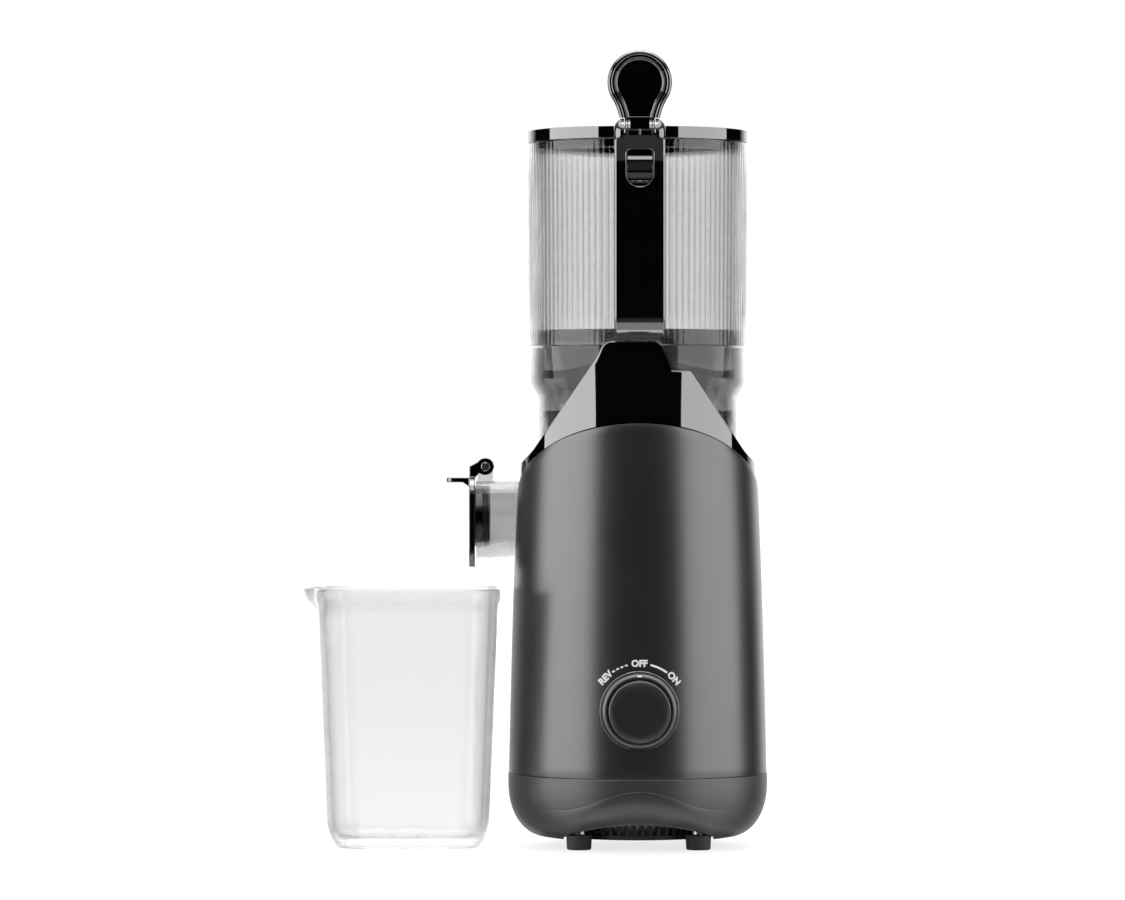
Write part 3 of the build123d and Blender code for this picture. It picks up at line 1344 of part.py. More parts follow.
# ---- export ----
pieces = {
    "base_skirt": base_skirt, "rubber_feet": rubber_feet, "bottom_plate": bottom_plate,
    "base_screws": base_screws, "body_shell": body_shell, "cradle": cradle, "knob": knob,
    "knob_pointer": knob_pointer, "switch_shaft": switch_shaft, "rotary_switch": rotary_switch,
    "power_inlet": power_inlet, "control_board": control_board, "motor_can": motor_can,
    "motor_stator": motor_stator, "stator_windings": stator_windings, "motor_rotor": motor_rotor,
    "motor_bearings": motor_bearings, "cooling_fan": cooling_fan, "gearbox_cover": gearbox_cover,
    "gearbox_housing": gearbox_housing, "motor_screws": motor_screws, "gearbox_screws": gearbox_screws,
    "ring_gear": ring_gear, "sun_gear": sun_gear, "planet_carrier": planet_carrier,
    "output_shaft": output_shaft, "output_bush": output_bush, "shaft_seal": shaft_seal,
    "safety_switch": safety_switch, "juice_bowl": juice_bowl, "bowl_gasket": bowl_gasket,
    "spout_cap": spout_cap, "cap_seal": cap_seal, "cap_pin": cap_pin,
    "strainer_frame": strainer_frame, "strainer_mesh": strainer_mesh, "auger": auger,
    "drive_socket": drive_socket, "hopper_wall": hopper_wall, "hopper_floor": hopper_floor,
    "handle": handle, "hinge_cover": hinge_cover, "hinge_pin": hinge_pin, "lid": lid,
    "thumb_lever": thumb_lever, "juice_jug": juice_jug,
}
for index, gear in enumerate(planet_gears, start=1):
    pieces[f"planet_gear_{index}"] = gear

os.makedirs("parts", exist_ok=True)
for name, piece in pieces.items():
    piece.part.label = name
    export_step(piece.part, f"parts/{name}.step")
    print(name, len(piece.part.solids()), round(piece.part.volume))
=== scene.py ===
"""Cold press juicer: the look of every piece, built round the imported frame.

Sizes are written in millimetres, +Z up, front towards -Y, and become metres as each mesh is made.
"""
import json
import math

import bmesh
import bpy
from mathutils import Matrix, Vector


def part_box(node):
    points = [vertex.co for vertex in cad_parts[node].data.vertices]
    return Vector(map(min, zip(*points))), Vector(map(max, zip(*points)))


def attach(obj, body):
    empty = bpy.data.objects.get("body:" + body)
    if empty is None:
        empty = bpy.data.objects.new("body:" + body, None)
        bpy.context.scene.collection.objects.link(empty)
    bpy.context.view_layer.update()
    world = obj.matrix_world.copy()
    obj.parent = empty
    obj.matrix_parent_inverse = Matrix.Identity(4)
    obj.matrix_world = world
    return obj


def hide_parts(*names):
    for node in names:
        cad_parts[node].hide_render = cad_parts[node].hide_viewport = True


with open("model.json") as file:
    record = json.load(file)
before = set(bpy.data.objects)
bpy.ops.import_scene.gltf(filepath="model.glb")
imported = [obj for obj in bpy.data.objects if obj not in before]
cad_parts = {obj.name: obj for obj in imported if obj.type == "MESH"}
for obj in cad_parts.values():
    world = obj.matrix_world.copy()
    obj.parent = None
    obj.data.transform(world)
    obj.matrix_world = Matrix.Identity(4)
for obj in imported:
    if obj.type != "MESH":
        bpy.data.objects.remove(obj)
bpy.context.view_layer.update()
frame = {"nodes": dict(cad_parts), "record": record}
MM = 0.001
TINY = 1e-6


def cad(node):
    """Lowest and highest corner of a CAD node in millimetres."""
    low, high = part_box(node)
    return low / MM, high / MM


# ---- camera and light; the studio is measured in metres ----
EYE = Vector((-45.1, -3248.0, 236.5))    # millimetres
LENS = 173.2
PANEL_DISTANCE = 1.25
PANEL_INNER = 41.5            # bearing of each panel's front edge from the front, in degrees
PANEL_OUTER = 103.0
PANEL_MIDDLE_Z = 0.28
PANEL_HEIGHT = 1.5
LEFT_POWER = 23.0
RIGHT_POWER = 19.0
TOP_PLACE = Vector((0, 0.1, 1.9))
TOP_SIZE = 1.1
TOP_POWER = 13.0
LIGHT_TARGET = Vector((0, 0, 0.2))
BACKDROP_GLOSS = 1.7          # how bright gloss sees the backdrop, the upper wall and the ceiling
WALL_GLOSS = 0.3
CEILING_GLOSS = 2.6
BACKDROP_SPAN = 0.7, 0.88     # how far back or up a direction points as each of them sets in
WALL_SPAN = 0.3, 0.5
CEILING_SPAN = 0.64, 0.7
FILL_LIGHT = 0.4


def placed(name, data):
    """A new object in the scene that holds this data."""
    made = bpy.data.objects.new(name, data)
    bpy.context.scene.collection.objects.link(made)
    return made


def set_camera():
    """The camera stands level in front of the juicer."""
    camera = placed("camera", bpy.data.cameras.new("camera"))
    camera.location = EYE * MM
    camera.rotation_euler = (math.radians(90), 0, 0)
    camera.data.sensor_width = 36.0
    camera.data.lens = LENS
    camera.data.clip_end = 100.0
    bpy.context.scene.camera = camera
    bpy.context.scene.view_settings.view_transform = "Standard"


def area_light(name, centre, width, height, power):
    """A soft box that faces the juicer and shows in its gloss, but not to the camera."""
    lamp = bpy.data.lights.new(name, "AREA")
    lamp.shape = "RECTANGLE"
    lamp.size = width
    lamp.size_y = height
    lamp.energy = power
    box = placed(name, lamp)
    box.location = centre
    box.rotation_euler = (LIGHT_TARGET - centre).to_track_quat("-Z", "Y").to_euler()
    box.visible_camera = False
    box.visible_transmission = False


def set_lights():
    """Two tall panels beside the juicer, with a dark gap in front, and a soft light from above."""
    middle = math.radians((PANEL_INNER + PANEL_OUTER) / 2)
    half = math.radians((PANEL_OUTER - PANEL_INNER) / 2)
    width = 2 * PANEL_DISTANCE * math.tan(half)
    for name, side, power in (("left_panel", -1, LEFT_POWER), ("right_panel", 1, RIGHT_POWER)):
        x, y = side * PANEL_DISTANCE * math.sin(middle), -PANEL_DISTANCE * math.cos(middle)
        area_light(name, Vector((x, y, PANEL_MIDDLE_Z)), width, PANEL_HEIGHT, power)
    area_light("top_panel", TOP_PLACE, TOP_SIZE, TOP_SIZE, TOP_POWER)


# ---- node trees ----
class Tree:
    """A node tree that is built by adding and joining nodes."""

    def __init__(self, node_tree):
        self.tree = node_tree
        self.tree.nodes.clear()

    def add(self, kind, inputs=None, **settings):
        """A new node with these properties and with these values or links on its inputs."""
        node = self.tree.nodes.new(kind)
        for key, value in settings.items():
            setattr(node, key, value)
        for key, value in (inputs or {}).items():
            self.join(value, node.inputs[key])
        return node

    def join(self, source, target):
        """Links an output to an input, or writes a plain value into it."""
        if isinstance(source, bpy.types.NodeSocket):
            self.tree.links.new(source, target)
        else:
            target.default_value = source

    def maths(self, operation, *values):
        """The output of a Math node."""
        return self.add("ShaderNodeMath", dict(enumerate(values)), operation=operation).outputs[0]

    def plus(self, first, second):
        """The sum of two values."""
        return self.maths("ADD", first, second)

    def minus(self, first, second):
        """One value less another."""
        return self.maths("SUBTRACT", first, second)

    def times(self, first, second):
        """The product of two values."""
        return self.maths("MULTIPLY", first, second)

    def ramp(self, value, low, high, start=0.0, end=1.0, **settings):
        """A value mapped from low..high to start..end."""
        inputs = {"Value": value, "From Min": low, "From Max": high, "To Min": start, "To Max": end}
        return self.add("ShaderNodeMapRange", inputs, **settings).outputs["Result"]

    def place(self):
        """The place on the object's own surface."""
        return self.add("ShaderNodeTexCoord").outputs["Object"]

    def noise(self, place, scale, detail=2.0, distortion=0.0):
        """The strength of a noise at a place."""
        inputs = {"Vector": place, "Scale": scale, "Detail": detail, "Distortion": distortion}
        return self.add("ShaderNodeTexNoise", inputs, noise_dimensions="3D").outputs["Fac"]

    def mixed(self, factor, first, second):
        """A colour between two colours."""
        inputs = {"Factor": factor, "A": first, "B": second}
        return self.add("ShaderNodeMix", inputs, data_type="RGBA").outputs["Result"]

    def rays(self):
        """Masks of the camera's rays, which also pass clear parts: those that met no gloss, and all of them.

        The third is the mask of every ray that comes off gloss.
        """
        path = self.add("ShaderNodeLightPath").outputs
        bounced = self.maths("GREATER_THAN", path["Glossy Depth"], 0.5)
        clear_way = self.maths("MAXIMUM", path["Is Camera Ray"], path["Is Transmission Ray"])
        return self.times(clear_way, self.minus(1.0, bounced)), clear_way, bounced


def grey(level):
    """A grey as a colour with alpha."""
    return level, level, level, 1.0


def set_world():
    """White for the camera and through clear parts; to gloss bright behind and above, and dark in front."""
    world = bpy.data.worlds.new("studio")
    bpy.context.scene.world = world
    world.use_nodes = True
    tree = Tree(world.node_tree)
    seen, clear_way, bounced = tree.rays()
    direction = tree.add("ShaderNodeTexCoord").outputs["Generated"]
    along = tree.add("ShaderNodeSeparateXYZ", {0: direction}).outputs
    behind = tree.ramp(along["Y"], *BACKDROP_SPAN, 0.0, BACKDROP_GLOSS)
    above = tree.plus(tree.ramp(along["Z"], *WALL_SPAN, 0.0, WALL_GLOSS),
                      tree.ramp(along["Z"], *CEILING_SPAN, 0.0, CEILING_GLOSS))
    mirrored = tree.times(bounced, tree.maths("MAXIMUM", behind, above))
    fill = tree.times(tree.minus(1.0, tree.maths("MAXIMUM", clear_way, bounced)), FILL_LIGHT)
    strength = tree.plus(tree.plus(seen, mirrored), fill)
    background = tree.add("ShaderNodeBackground", {"Color": grey(1.0), "Strength": strength})
    tree.add("ShaderNodeOutputWorld", {"Surface": background.outputs[0]})


# ---- shapes ----
def rounded(corners, closed=False, steps=5):
    """A line through (x, y, radius) corners, each turned by an arc of that radius."""
    line = []
    for index, (x, y, radius) in enumerate(corners):
        corner = Vector((x, y))
        if radius == 0 or (not closed and index in (0, len(corners) - 1)):
            line.append((x, y))
            continue
        back = (Vector(corners[index - 1][:2]) - corner).normalized()
        ahead = (Vector(corners[(index + 1) % len(corners)][:2]) - corner).normalized()
        half = back.angle(ahead) / 2
        centre = corner + (back + ahead).normalized() * (radius / math.sin(half))
        start = corner + back * (radius / math.tan(half)) - centre
        end = corner + ahead * (radius / math.tan(half)) - centre
        first = math.atan2(start.y, start.x)
        turn = (math.atan2(end.y, end.x) - first + math.pi) % (2 * math.pi) - math.pi
        for step in range(steps + 1):
            angle = first + turn * step / steps
            line.append((centre.x + radius * math.cos(angle), centre.y + radius * math.sin(angle)))
    return line


def rounded_box(x0, y0, x1, y1, low, high, steps):
    """A rectangle whose lower and upper corners have these radii."""
    return rounded([(x0, y0, low), (x1, y0, low), (x1, y1, high), (x0, y1, high)], True, steps)


def smooth_line(points, steps=12):
    """Points along a Catmull-Rom curve through a few points."""
    line = []
    for index in range(len(points) - 1):
        p0 = Vector(points[max(index - 1, 0)])
        p1, p2 = Vector(points[index]), Vector(points[index + 1])
        p3 = Vector(points[min(index + 2, len(points) - 1)])
        for step in range(steps):
            t = step / steps
            place = 0.5 * (2 * p1 + (p2 - p0) * t + (2 * p0 - 5 * p1 + 4 * p2 - p3) * t * t
                           + (3 * p1 - p0 - 3 * p2 + p3) * t ** 3)
            line.append(tuple(place))
    return line + [tuple(points[-1])]


def curve_through(points):
    """The smooth radius at a height, through a few (height, radius) points."""
    def radius_at(z):
        return sum(radius * math.prod((z - other) / (height - other) for other, _ in points
                                      if other != height) for height, radius in points)
    return radius_at


def line_height(line, x):
    """Height of a line of (x, z) points, in rising x, at one x."""
    for (x0, z0), (x1, z1) in zip(line, line[1:]):
        if x0 <= x <= x1:
            return z0 + (z1 - z0) * (x - x0) / max(x1 - x0, TINY)
    return line[0][1] if x < line[0][0] else line[-1][1]


def eased(value, low, high):
    """0 below low, 1 above high and smooth between them."""
    share = min(max((value - low) / (high - low), 0.0), 1.0)
    return share * share * (3 - 2 * share)


def skin(rows, closed=False, caps=False):
    """Points and faces of a surface through rings of points; a ring of one point is a pole."""
    points = [point for row in rows for point in row]
    starts = [sum(len(row) for row in rows[:index]) for index in range(len(rows))]
    pairs = [(index, index + 1) for index in range(len(rows) - 1)]
    if closed:
        pairs.append((len(rows) - 1, 0))
    faces = []
    for low, high in pairs:
        for step in range(max(len(rows[low]), len(rows[high]))):
            quad = [starts[low] + step % len(rows[low]), starts[low] + (step + 1) % len(rows[low]),
                    starts[high] + (step + 1) % len(rows[high]), starts[high] + step % len(rows[high])]
            corners = list(dict.fromkeys(quad))
            if len(corners) > 2:
                faces.append(corners)
    if caps:
        faces += [[starts[end] + step for step in range(len(rows[end]))] for end in (0, -1)]
    return points, faces


def turned(profile, steps=180):
    """A profile of (radius, height) turned about +Z; it is a closed ring unless it starts on the axis."""
    rows = []
    for radius, height in profile:
        if radius < TINY:
            rows.append([(0.0, 0.0, height)])
            continue
        rows.append([(radius * math.cos(angle), radius * math.sin(angle), height)
                     for angle in (2 * math.pi * step / steps for step in range(steps))])
    return skin(rows, closed=profile[0][0] > TINY)


def prism(outline, place, low, high):
    """A flat outline drawn out between two heights, where place(x, y, height) says where each point goes."""
    return skin([[place(x, y, height) for x, y in outline] for height in (low, high)], caps=True)


def moved(shape, place):
    """A shape put through a matrix."""
    points, faces = shape
    return [tuple(place @ Vector(point)) for point in points], faces


def together(*shapes):
    """Several shapes as one."""
    points, faces = [], []
    for more_points, more_faces in shapes:
        start = len(points)
        points += list(more_points)
        faces += [[start + corner for corner in face] for face in more_faces]
    return points, faces


def facing(normal, centre):
    """The matrix that puts a flat shape's +Z along a normal and its +Y upwards, about a centre."""
    forward = Vector(normal).normalized()
    right = Vector((0, 0, 1)).cross(forward).normalized()
    turn = Matrix((right, forward.cross(right), forward)).transposed().to_4x4()
    return Matrix.Translation(Vector(centre)) @ turn


def filled(curve):
    """The points and faces of a flat curve, which is then removed."""
    holder = placed("outline", curve)
    mesh = bpy.data.meshes.new_from_object(holder)
    bpy.data.objects.remove(holder)
    bpy.data.curves.remove(curve)
    shape = [tuple(vertex.co) for vertex in mesh.vertices], [list(face.vertices) for face in mesh.polygons]
    bpy.data.meshes.remove(mesh)
    return shape


def plate(outline, thickness, edge, steps):
    """A flat plate about z 0 with rounded edges."""
    curve = bpy.data.curves.new("outline", "CURVE")
    curve.dimensions = "2D"
    curve.fill_mode = "BOTH"
    curve.extrude = thickness / 2 - edge
    curve.bevel_depth = edge
    curve.bevel_resolution = steps
    curve.offset = -edge
    spline = curve.splines.new("POLY")
    spline.points.add(len(outline) - 1)
    for point, (x, y) in zip(spline.points, outline):
        point.co = (x, y, 0, 1)
    spline.use_cyclic_u = True
    return filled(curve)


def relief(outline, profile, foot):
    """A flat piece whose surface steps in from its outline by (inset, height), but not along its foot."""
    normals = []
    for index, corner in enumerate(outline):
        before, here, after = [Vector(outline[(index + step) % len(outline)]) for step in (-1, 0, 1)]
        first, second = [Vector((side.y, -side.x)).normalized() for side in (after - here, here - before)]
        middle = (first + second).normalized()
        if corner[1] == foot:
            middle = first = Vector((math.copysign(1.0, corner[0]), 0.0))
        normals.append(middle / max(middle.dot(first), 0.6))
    rows = [[(x - normal.x * inset, y - normal.y * inset, height) for (x, y), normal in zip(outline, normals)]
            for inset, height in profile]
    return skin(rows, caps=True)


def bar(low, high, corner, axis, steps=6):
    """A bar with rounded long edges along the x or the y axis."""
    size = [end - start for start, end in zip(low, high)]
    width, along = (size[1], size[0]) if axis == "x" else (size[0], size[1])
    centre = [(start + end) / 2 for start, end in zip(low, high)]
    outline = rounded_box(-width / 2, -size[2] / 2, width / 2, size[2] / 2, corner, corner, steps)
    flat = prism(outline, lambda x, y, z: (x, y, z), -along / 2, along / 2)
    return moved(flat, facing((1, 0, 0) if axis == "x" else (0, -1, 0), centre))


# ---- meshes and pieces ----
def mesh_of(name, shape):
    """A mesh from points in millimetres and faces."""
    mesh = bpy.data.meshes.new(name)
    mesh.from_pydata([Vector(point) * MM for point in shape[0]], [], shape[1])
    return mesh


def shaded(mesh, sharp):
    """Shades a mesh smooth but for its edges sharper than this angle."""
    mesh.shade_smooth()
    mesh.set_sharp_from_angle(angle=math.radians(sharp))
    return mesh


def tidied(mesh, sharp):
    """Merges doubled points, turns faces outwards, and shades the mesh."""
    work = bmesh.new()
    work.from_mesh(mesh)
    bmesh.ops.remove_doubles(work, verts=work.verts, dist=TINY)
    bmesh.ops.recalc_face_normals(work, faces=work.faces)
    work.to_mesh(mesh)
    work.free()
    return shaded(mesh, sharp)


def applied(holder):
    """The mesh of an object with its modifiers applied; the object is removed."""
    graph = bpy.context.evaluated_depsgraph_get()
    mesh = bpy.data.meshes.new_from_object(holder.evaluated_get(graph))
    bpy.data.objects.remove(holder)
    return mesh


def combined(mesh, shapes, operation):
    """The mesh with other shapes taken out of it or joined to it."""
    holder = placed("work", mesh)
    tools = []
    for shape in shapes:
        tools.append(placed("tool", tidied(mesh_of("tool", shape), 30)))
        modifier = holder.modifiers.new("tool", "BOOLEAN")
        modifier.operation = operation
        modifier.solver = "EXACT"
        modifier.object = tools[-1]
    result = applied(holder)
    for tool in tools:
        bpy.data.objects.remove(tool)
    return result


def shown(name, mesh, body, material, replaces=()):
    """Puts a finished mesh on a body, for the CAD nodes that it replaces; clear pieces cast no shadow."""
    mesh.name = name
    mesh.materials.clear()
    mesh.materials.append(finishes[material])
    made = placed(name, mesh)
    made.visible_shadow = material not in FINISH_TABLES[clear_plastic]
    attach(made, body)
    if replaces:
        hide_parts(*replaces)


def piece(name, shape, body, material, replaces=(), sharp=35, unions=(), cutters=()):
    """A piece made from points and faces in millimetres, or from a mesh, joined to or cut by others."""
    mesh = tidied(shape if isinstance(shape, bpy.types.Mesh) else mesh_of(name, shape), sharp)
    for shapes, operation in ((unions, "UNION"), (cutters, "DIFFERENCE")):
        if shapes:
            mesh = tidied(combined(mesh, shapes, operation), sharp)
    shown(name, mesh, body, material, replaces)


def dressed(node, body, material, bevel, segments=3, cutters=(), sharp=35):
    """A CAD node's own shape with merged faces, soft edges and smooth rounds."""
    mesh = frame["nodes"][node].data.copy()
    if cutters:
        mesh = combined(mesh, cutters, "DIFFERENCE")
    work = bmesh.new()
    work.from_mesh(mesh)
    bmesh.ops.remove_doubles(work, verts=work.verts, dist=TINY)
    bmesh.ops.dissolve_limit(work, angle_limit=math.radians(0.6), verts=work.verts, edges=work.edges)
    work.to_mesh(mesh)
    work.free()
    shaded(mesh, sharp)
    if bevel:
        holder = placed(node, mesh)
        edges = holder.modifiers.new("edges", "BEVEL")
        edges.limit_method = "ANGLE"
        edges.angle_limit = math.radians(sharp)
        edges.width = bevel * MM
        edges.segments = segments
        edges.harden_normals = True
        mesh = applied(holder)
    shown(node + "_dressed", mesh, body, material, [node])


# ---- effects that several finishes share ----
def new_group(kind, name, inputs, outputs):
    """An empty node group, whose sockets have a first value or a kind: (tree, inputs, outputs)."""
    group = bpy.data.node_groups.new(name, kind)
    for way, sockets in (("INPUT", inputs), ("OUTPUT", outputs)):
        for label, value in sockets.items():
            if isinstance(value, str):
                group.interface.new_socket(label, in_out=way, socket_type=value)
            else:
                number = "NodeSocketInt" if isinstance(value, int) else "NodeSocketFloat"
                group.interface.new_socket(label, in_out=way, socket_type=number).default_value = value
    tree = Tree(group)
    return tree, tree.add("NodeGroupInput").outputs, tree.add("NodeGroupOutput").inputs


def moulded_texture():
    """Fine spark-eroded grain of a moulding: a roughness that varies and a height."""
    tree, given, leave = new_group("ShaderNodeTree", "moulded_texture", {
        "Scale": 900.0, "Roughness": 0.4, "Spread": 0.05}, {"Roughness": 0.0, "Height": 0.0})
    place = tree.place()
    tree.join(tree.noise(place, given["Scale"]), leave["Height"])
    swing = tree.minus(tree.noise(place, 14.0, 3.0), 0.5)
    tree.join(tree.plus(given["Roughness"], tree.times(swing, given["Spread"])), leave["Roughness"])
    return tree.tree


def handling_marks():
    """Faint dust specks and wiped smears on gloss: a roughness and a mask of the specks."""
    tree, given, leave = new_group("ShaderNodeTree", "handling_marks", {
        "Roughness": 0.05, "Smear": 0.04, "Specks": 0.5}, {"Roughness": 0.0, "Specks": 0.0})
    place = tree.place()
    lift = tree.ramp(tree.noise(place, 22.0, 4.0, 1.5), 0.5, 0.8)
    tree.join(tree.plus(given["Roughness"], tree.times(lift, given["Smear"])), leave["Roughness"])
    dust = tree.add("ShaderNodeTexVoronoi", {"Vector": place, "Scale": 420.0}, feature="F1")
    speck = tree.maths("LESS_THAN", dust.outputs["Distance"], 0.025)
    tree.join(tree.times(speck, given["Specks"]), leave["Specks"])
    return tree.tree


def turned_lines():
    """Fine tool lines round a turned or drawn metal piece: a roughness and a height."""
    tree, given, leave = new_group("ShaderNodeTree", "turned_lines", {
        "Lines": 700.0, "Roughness": 0.3, "Spread": 0.15}, {"Roughness": 0.0, "Height": 0.0})
    stretch = tree.add("ShaderNodeVectorMath", {0: tree.place(), 1: (0.03, 0.03, 1.0)}, operation="MULTIPLY")
    lines = tree.noise(stretch.outputs[0], given["Lines"])
    tree.join(tree.plus(given["Roughness"], tree.times(lines, given["Spread"])), leave["Roughness"])
    tree.join(lines, leave["Height"])
    return tree.tree


# ---- finishes ----
GRAIN_DEPTH = 0.00003         # metres of relief that a bump shows at full height
SPECK_COLOUR = (0.35, 0.35, 0.34, 1.0)
GLOSS_ROUGHNESS = 0.03
GLOSS_IOR = 2.25
CLEAR_ROUGHNESS = 0.01
CLEAR_IOR = 1.15
COAT_IOR = 1.55


def new_finish(name, **settings):
    """A material and its shader's inputs, some of them set: (material, tree, inputs)."""
    material = bpy.data.materials.new(name)
    material.use_nodes = True
    tree = Tree(material.node_tree)
    settings = {key.replace("_", " "): value for key, value in settings.items()}
    shader = tree.add("ShaderNodeBsdfPrincipled", settings)
    tree.add("ShaderNodeOutputMaterial", {"Surface": shader.outputs["BSDF"]})
    return material, tree, shader.inputs


def textured(tree, look, name, strength, **values):
    """Gives a shader the roughness and the bump of a shared effect with these values."""
    effect = tree.add("ShaderNodeGroup", values, node_tree=effects[name]).outputs
    tree.join(effect["Roughness"], look["Roughness"])
    inputs = {"Height": effect["Height"], "Strength": strength, "Distance": GRAIN_DEPTH}
    tree.join(tree.add("ShaderNodeBump", inputs).outputs["Normal"], look["Normal"])


def marked(tree, look, roughness, smear, specks):
    """Gives a shader the roughness of the handling marks, and returns the mask of their specks."""
    values = {"Roughness": roughness, "Smear": smear, "Specks": specks}
    marks = tree.add("ShaderNodeGroup", values, node_tree=effects["handling_marks"]).outputs
    tree.join(marks["Roughness"], look["Roughness"])
    return marks["Specks"]


def mottled(tree, colour, change, scale=9.0):
    """A colour that drifts a little over the surface, as far as its own value times a change."""
    other = [min(1.0, change * part) for part in colour]
    return tree.mixed(tree.noise(tree.place(), scale, 3.0), (*colour, 1.0), (*other, 1.0))


def satin_plastic(name, colour, roughness, ior=1.5, grain=900.0, strength=0.35):
    """Moulded plastic with a fine grain."""
    material, tree, look = new_finish(name, IOR=ior)
    textured(tree, look, "moulded_texture", strength, Scale=grain, Roughness=roughness, Spread=0.08)
    tree.join(mottled(tree, colour, 1.12), look["Base Color"])
    return material


def metal(name, colour, roughness, lines=700.0, strength=0.25):
    """Bare metal with fine tool lines."""
    material, tree, look = new_finish(name, Metallic=1.0)
    textured(tree, look, "turned_lines", strength, Lines=lines, Roughness=roughness, Spread=0.15)
    tree.join(mottled(tree, colour, 0.9, scale=25.0), look["Base Color"])
    return material


def gloss_plastic(name, colour):
    """Polished moulded plastic with faint smears and a few specks of dust."""
    material, tree, look = new_finish(name, IOR=GLOSS_IOR)
    specks = marked(tree, look, GLOSS_ROUGHNESS, 0.03, 0.06)
    tree.join(tree.mixed(specks, mottled(tree, colour, 1.3), SPECK_COLOUR), look["Base Color"])
    return material


def clear_plastic(name, face, edge, alpha, painted_valley_shade=None):
    """Clear moulding, with a darker tint where the eye looks along its wall (partly a longer path through the
    wall, partly painted dark reflection), and painted shade in the valleys between its flutes.
    """
    material, tree, look = new_finish(name, IOR=CLEAR_IOR, Transmission_Weight=1.0, Alpha=alpha,
                                      Coat_Weight=1.0, Coat_IOR=COAT_IOR, Coat_Roughness=CLEAR_ROUGHNESS)
    # painted dark reflection: the base colour goes towards the dark edge colour as the wall is seen more
    # edge-on
    along_wall = tree.add("ShaderNodeLayerWeight", {"Blend": 0.5}).outputs["Facing"]
    colour = tree.mixed(along_wall, (*face, 1.0), (*edge, 1.0))
    # painted shade: the base colour goes darker towards a grey in the flutes' valleys
    if painted_valley_shade is not None:
        depth = tree.add("ShaderNodeAttribute", attribute_name="painted_valley_shade").outputs["Fac"]
        colour = tree.mixed(depth, colour, grey(painted_valley_shade))
    tree.join(colour, look["Base Color"])
    marked(tree, look, CLEAR_ROUGHNESS, 0.02, 0.0)
    return material


effects = {"moulded_texture": moulded_texture(), "handling_marks": handling_marks(),
           "turned_lines": turned_lines()}
FINISH_TABLES = {
    satin_plastic: {
        "shell_grey": ((0.004, 0.004, 0.0042), 0.31, 1.95),
        "skirt_grey": ((0.011, 0.011, 0.0113), 0.42, 1.8),
        "plate_black": ((0.02, 0.02, 0.02), 0.55),
        "foot_rubber": ((0.02, 0.02, 0.02), 0.7, 1.5, 500.0, 0.5),
        "knob_black": ((0.011, 0.011, 0.0113), 0.3, 1.8),
        "dial_white": ((0.9, 0.9, 0.9), 0.4, 1.5, 900.0, 0.1),
        "switch_black": ((0.02, 0.02, 0.02), 0.5),
        "board_green": ((0.02, 0.12, 0.05), 0.35, 1.5, 300.0),
        "gear_nylon": ((0.75, 0.74, 0.68), 0.4),
        "fan_grey": ((0.2, 0.2, 0.21), 0.45),
        "seal_silicone": ((0.015, 0.015, 0.015), 0.45, 1.5, 300.0),
        "strainer_black": ((0.02, 0.02, 0.02), 0.4),
        "auger_black": ((0.025, 0.025, 0.026), 0.35),
    },
    metal: {
        "can_steel": ((0.5, 0.5, 0.51), 0.3),
        "core_steel": ((0.3, 0.3, 0.31), 0.4, 2500.0, 0.6),
        "winding_copper": ((0.72, 0.33, 0.14), 0.25, 1500.0, 0.8),
        "shaft_steel": ((0.6, 0.6, 0.61), 0.2),
        "screw_steel": ((0.55, 0.55, 0.56), 0.3),
        "pin_chrome": ((0.82, 0.82, 0.83), 0.08),
        "cast_aluminium": ((0.6, 0.6, 0.61), 0.45, 150.0, 0.5),
        "bush_bronze": ((0.6, 0.42, 0.2), 0.4),
        "mesh_steel": ((0.5, 0.5, 0.51), 0.3),
    },
    gloss_plastic: {
        "gloss_black": ((0.0015, 0.0015, 0.0016),),
    },
    clear_plastic: {
        # face tint; edge colour, which is painted dark reflection; alpha; for the hopper, the grey of the
        # painted shade in the flute valleys
        "bowl_clear": ((0.4, 0.4, 0.405), (0.08, 0.08, 0.08), 0.6),
        "hopper_clear": ((0.72, 0.72, 0.72), (0.06, 0.06, 0.06), 0.6, 0.01),
        "jug_clear": ((0.86, 0.845, 0.845), (0.06, 0.057, 0.057), 0.6),
        "smoke_floor": ((0.1, 0.1, 0.102), (0.03, 0.03, 0.03), 0.85),
    },
}
finishes = {name: make(name, *values) for make, table in FINISH_TABLES.items()
            for name, values in table.items()}


# ---- floor ----
FLOOR_SIZE = 30.0             # metres
FLOOR_COLOUR = 0.22
FLOOR_GLOW = 0.76             # light that the camera sees from the floor on top of what falls on it
FLOOR_ROUGHNESS = 0.6
FLOOR_MIRROR = 0.4            # how well gloss sees the room mirrored in the floor
MIRROR_ROUGHNESS = 0.08
NEAR_LIGHT = 0.15             # painted light: a glow that gloss sees on the floor close to the juicer
NEAR_FROM, NEAR_TO = 0.08, 0.2


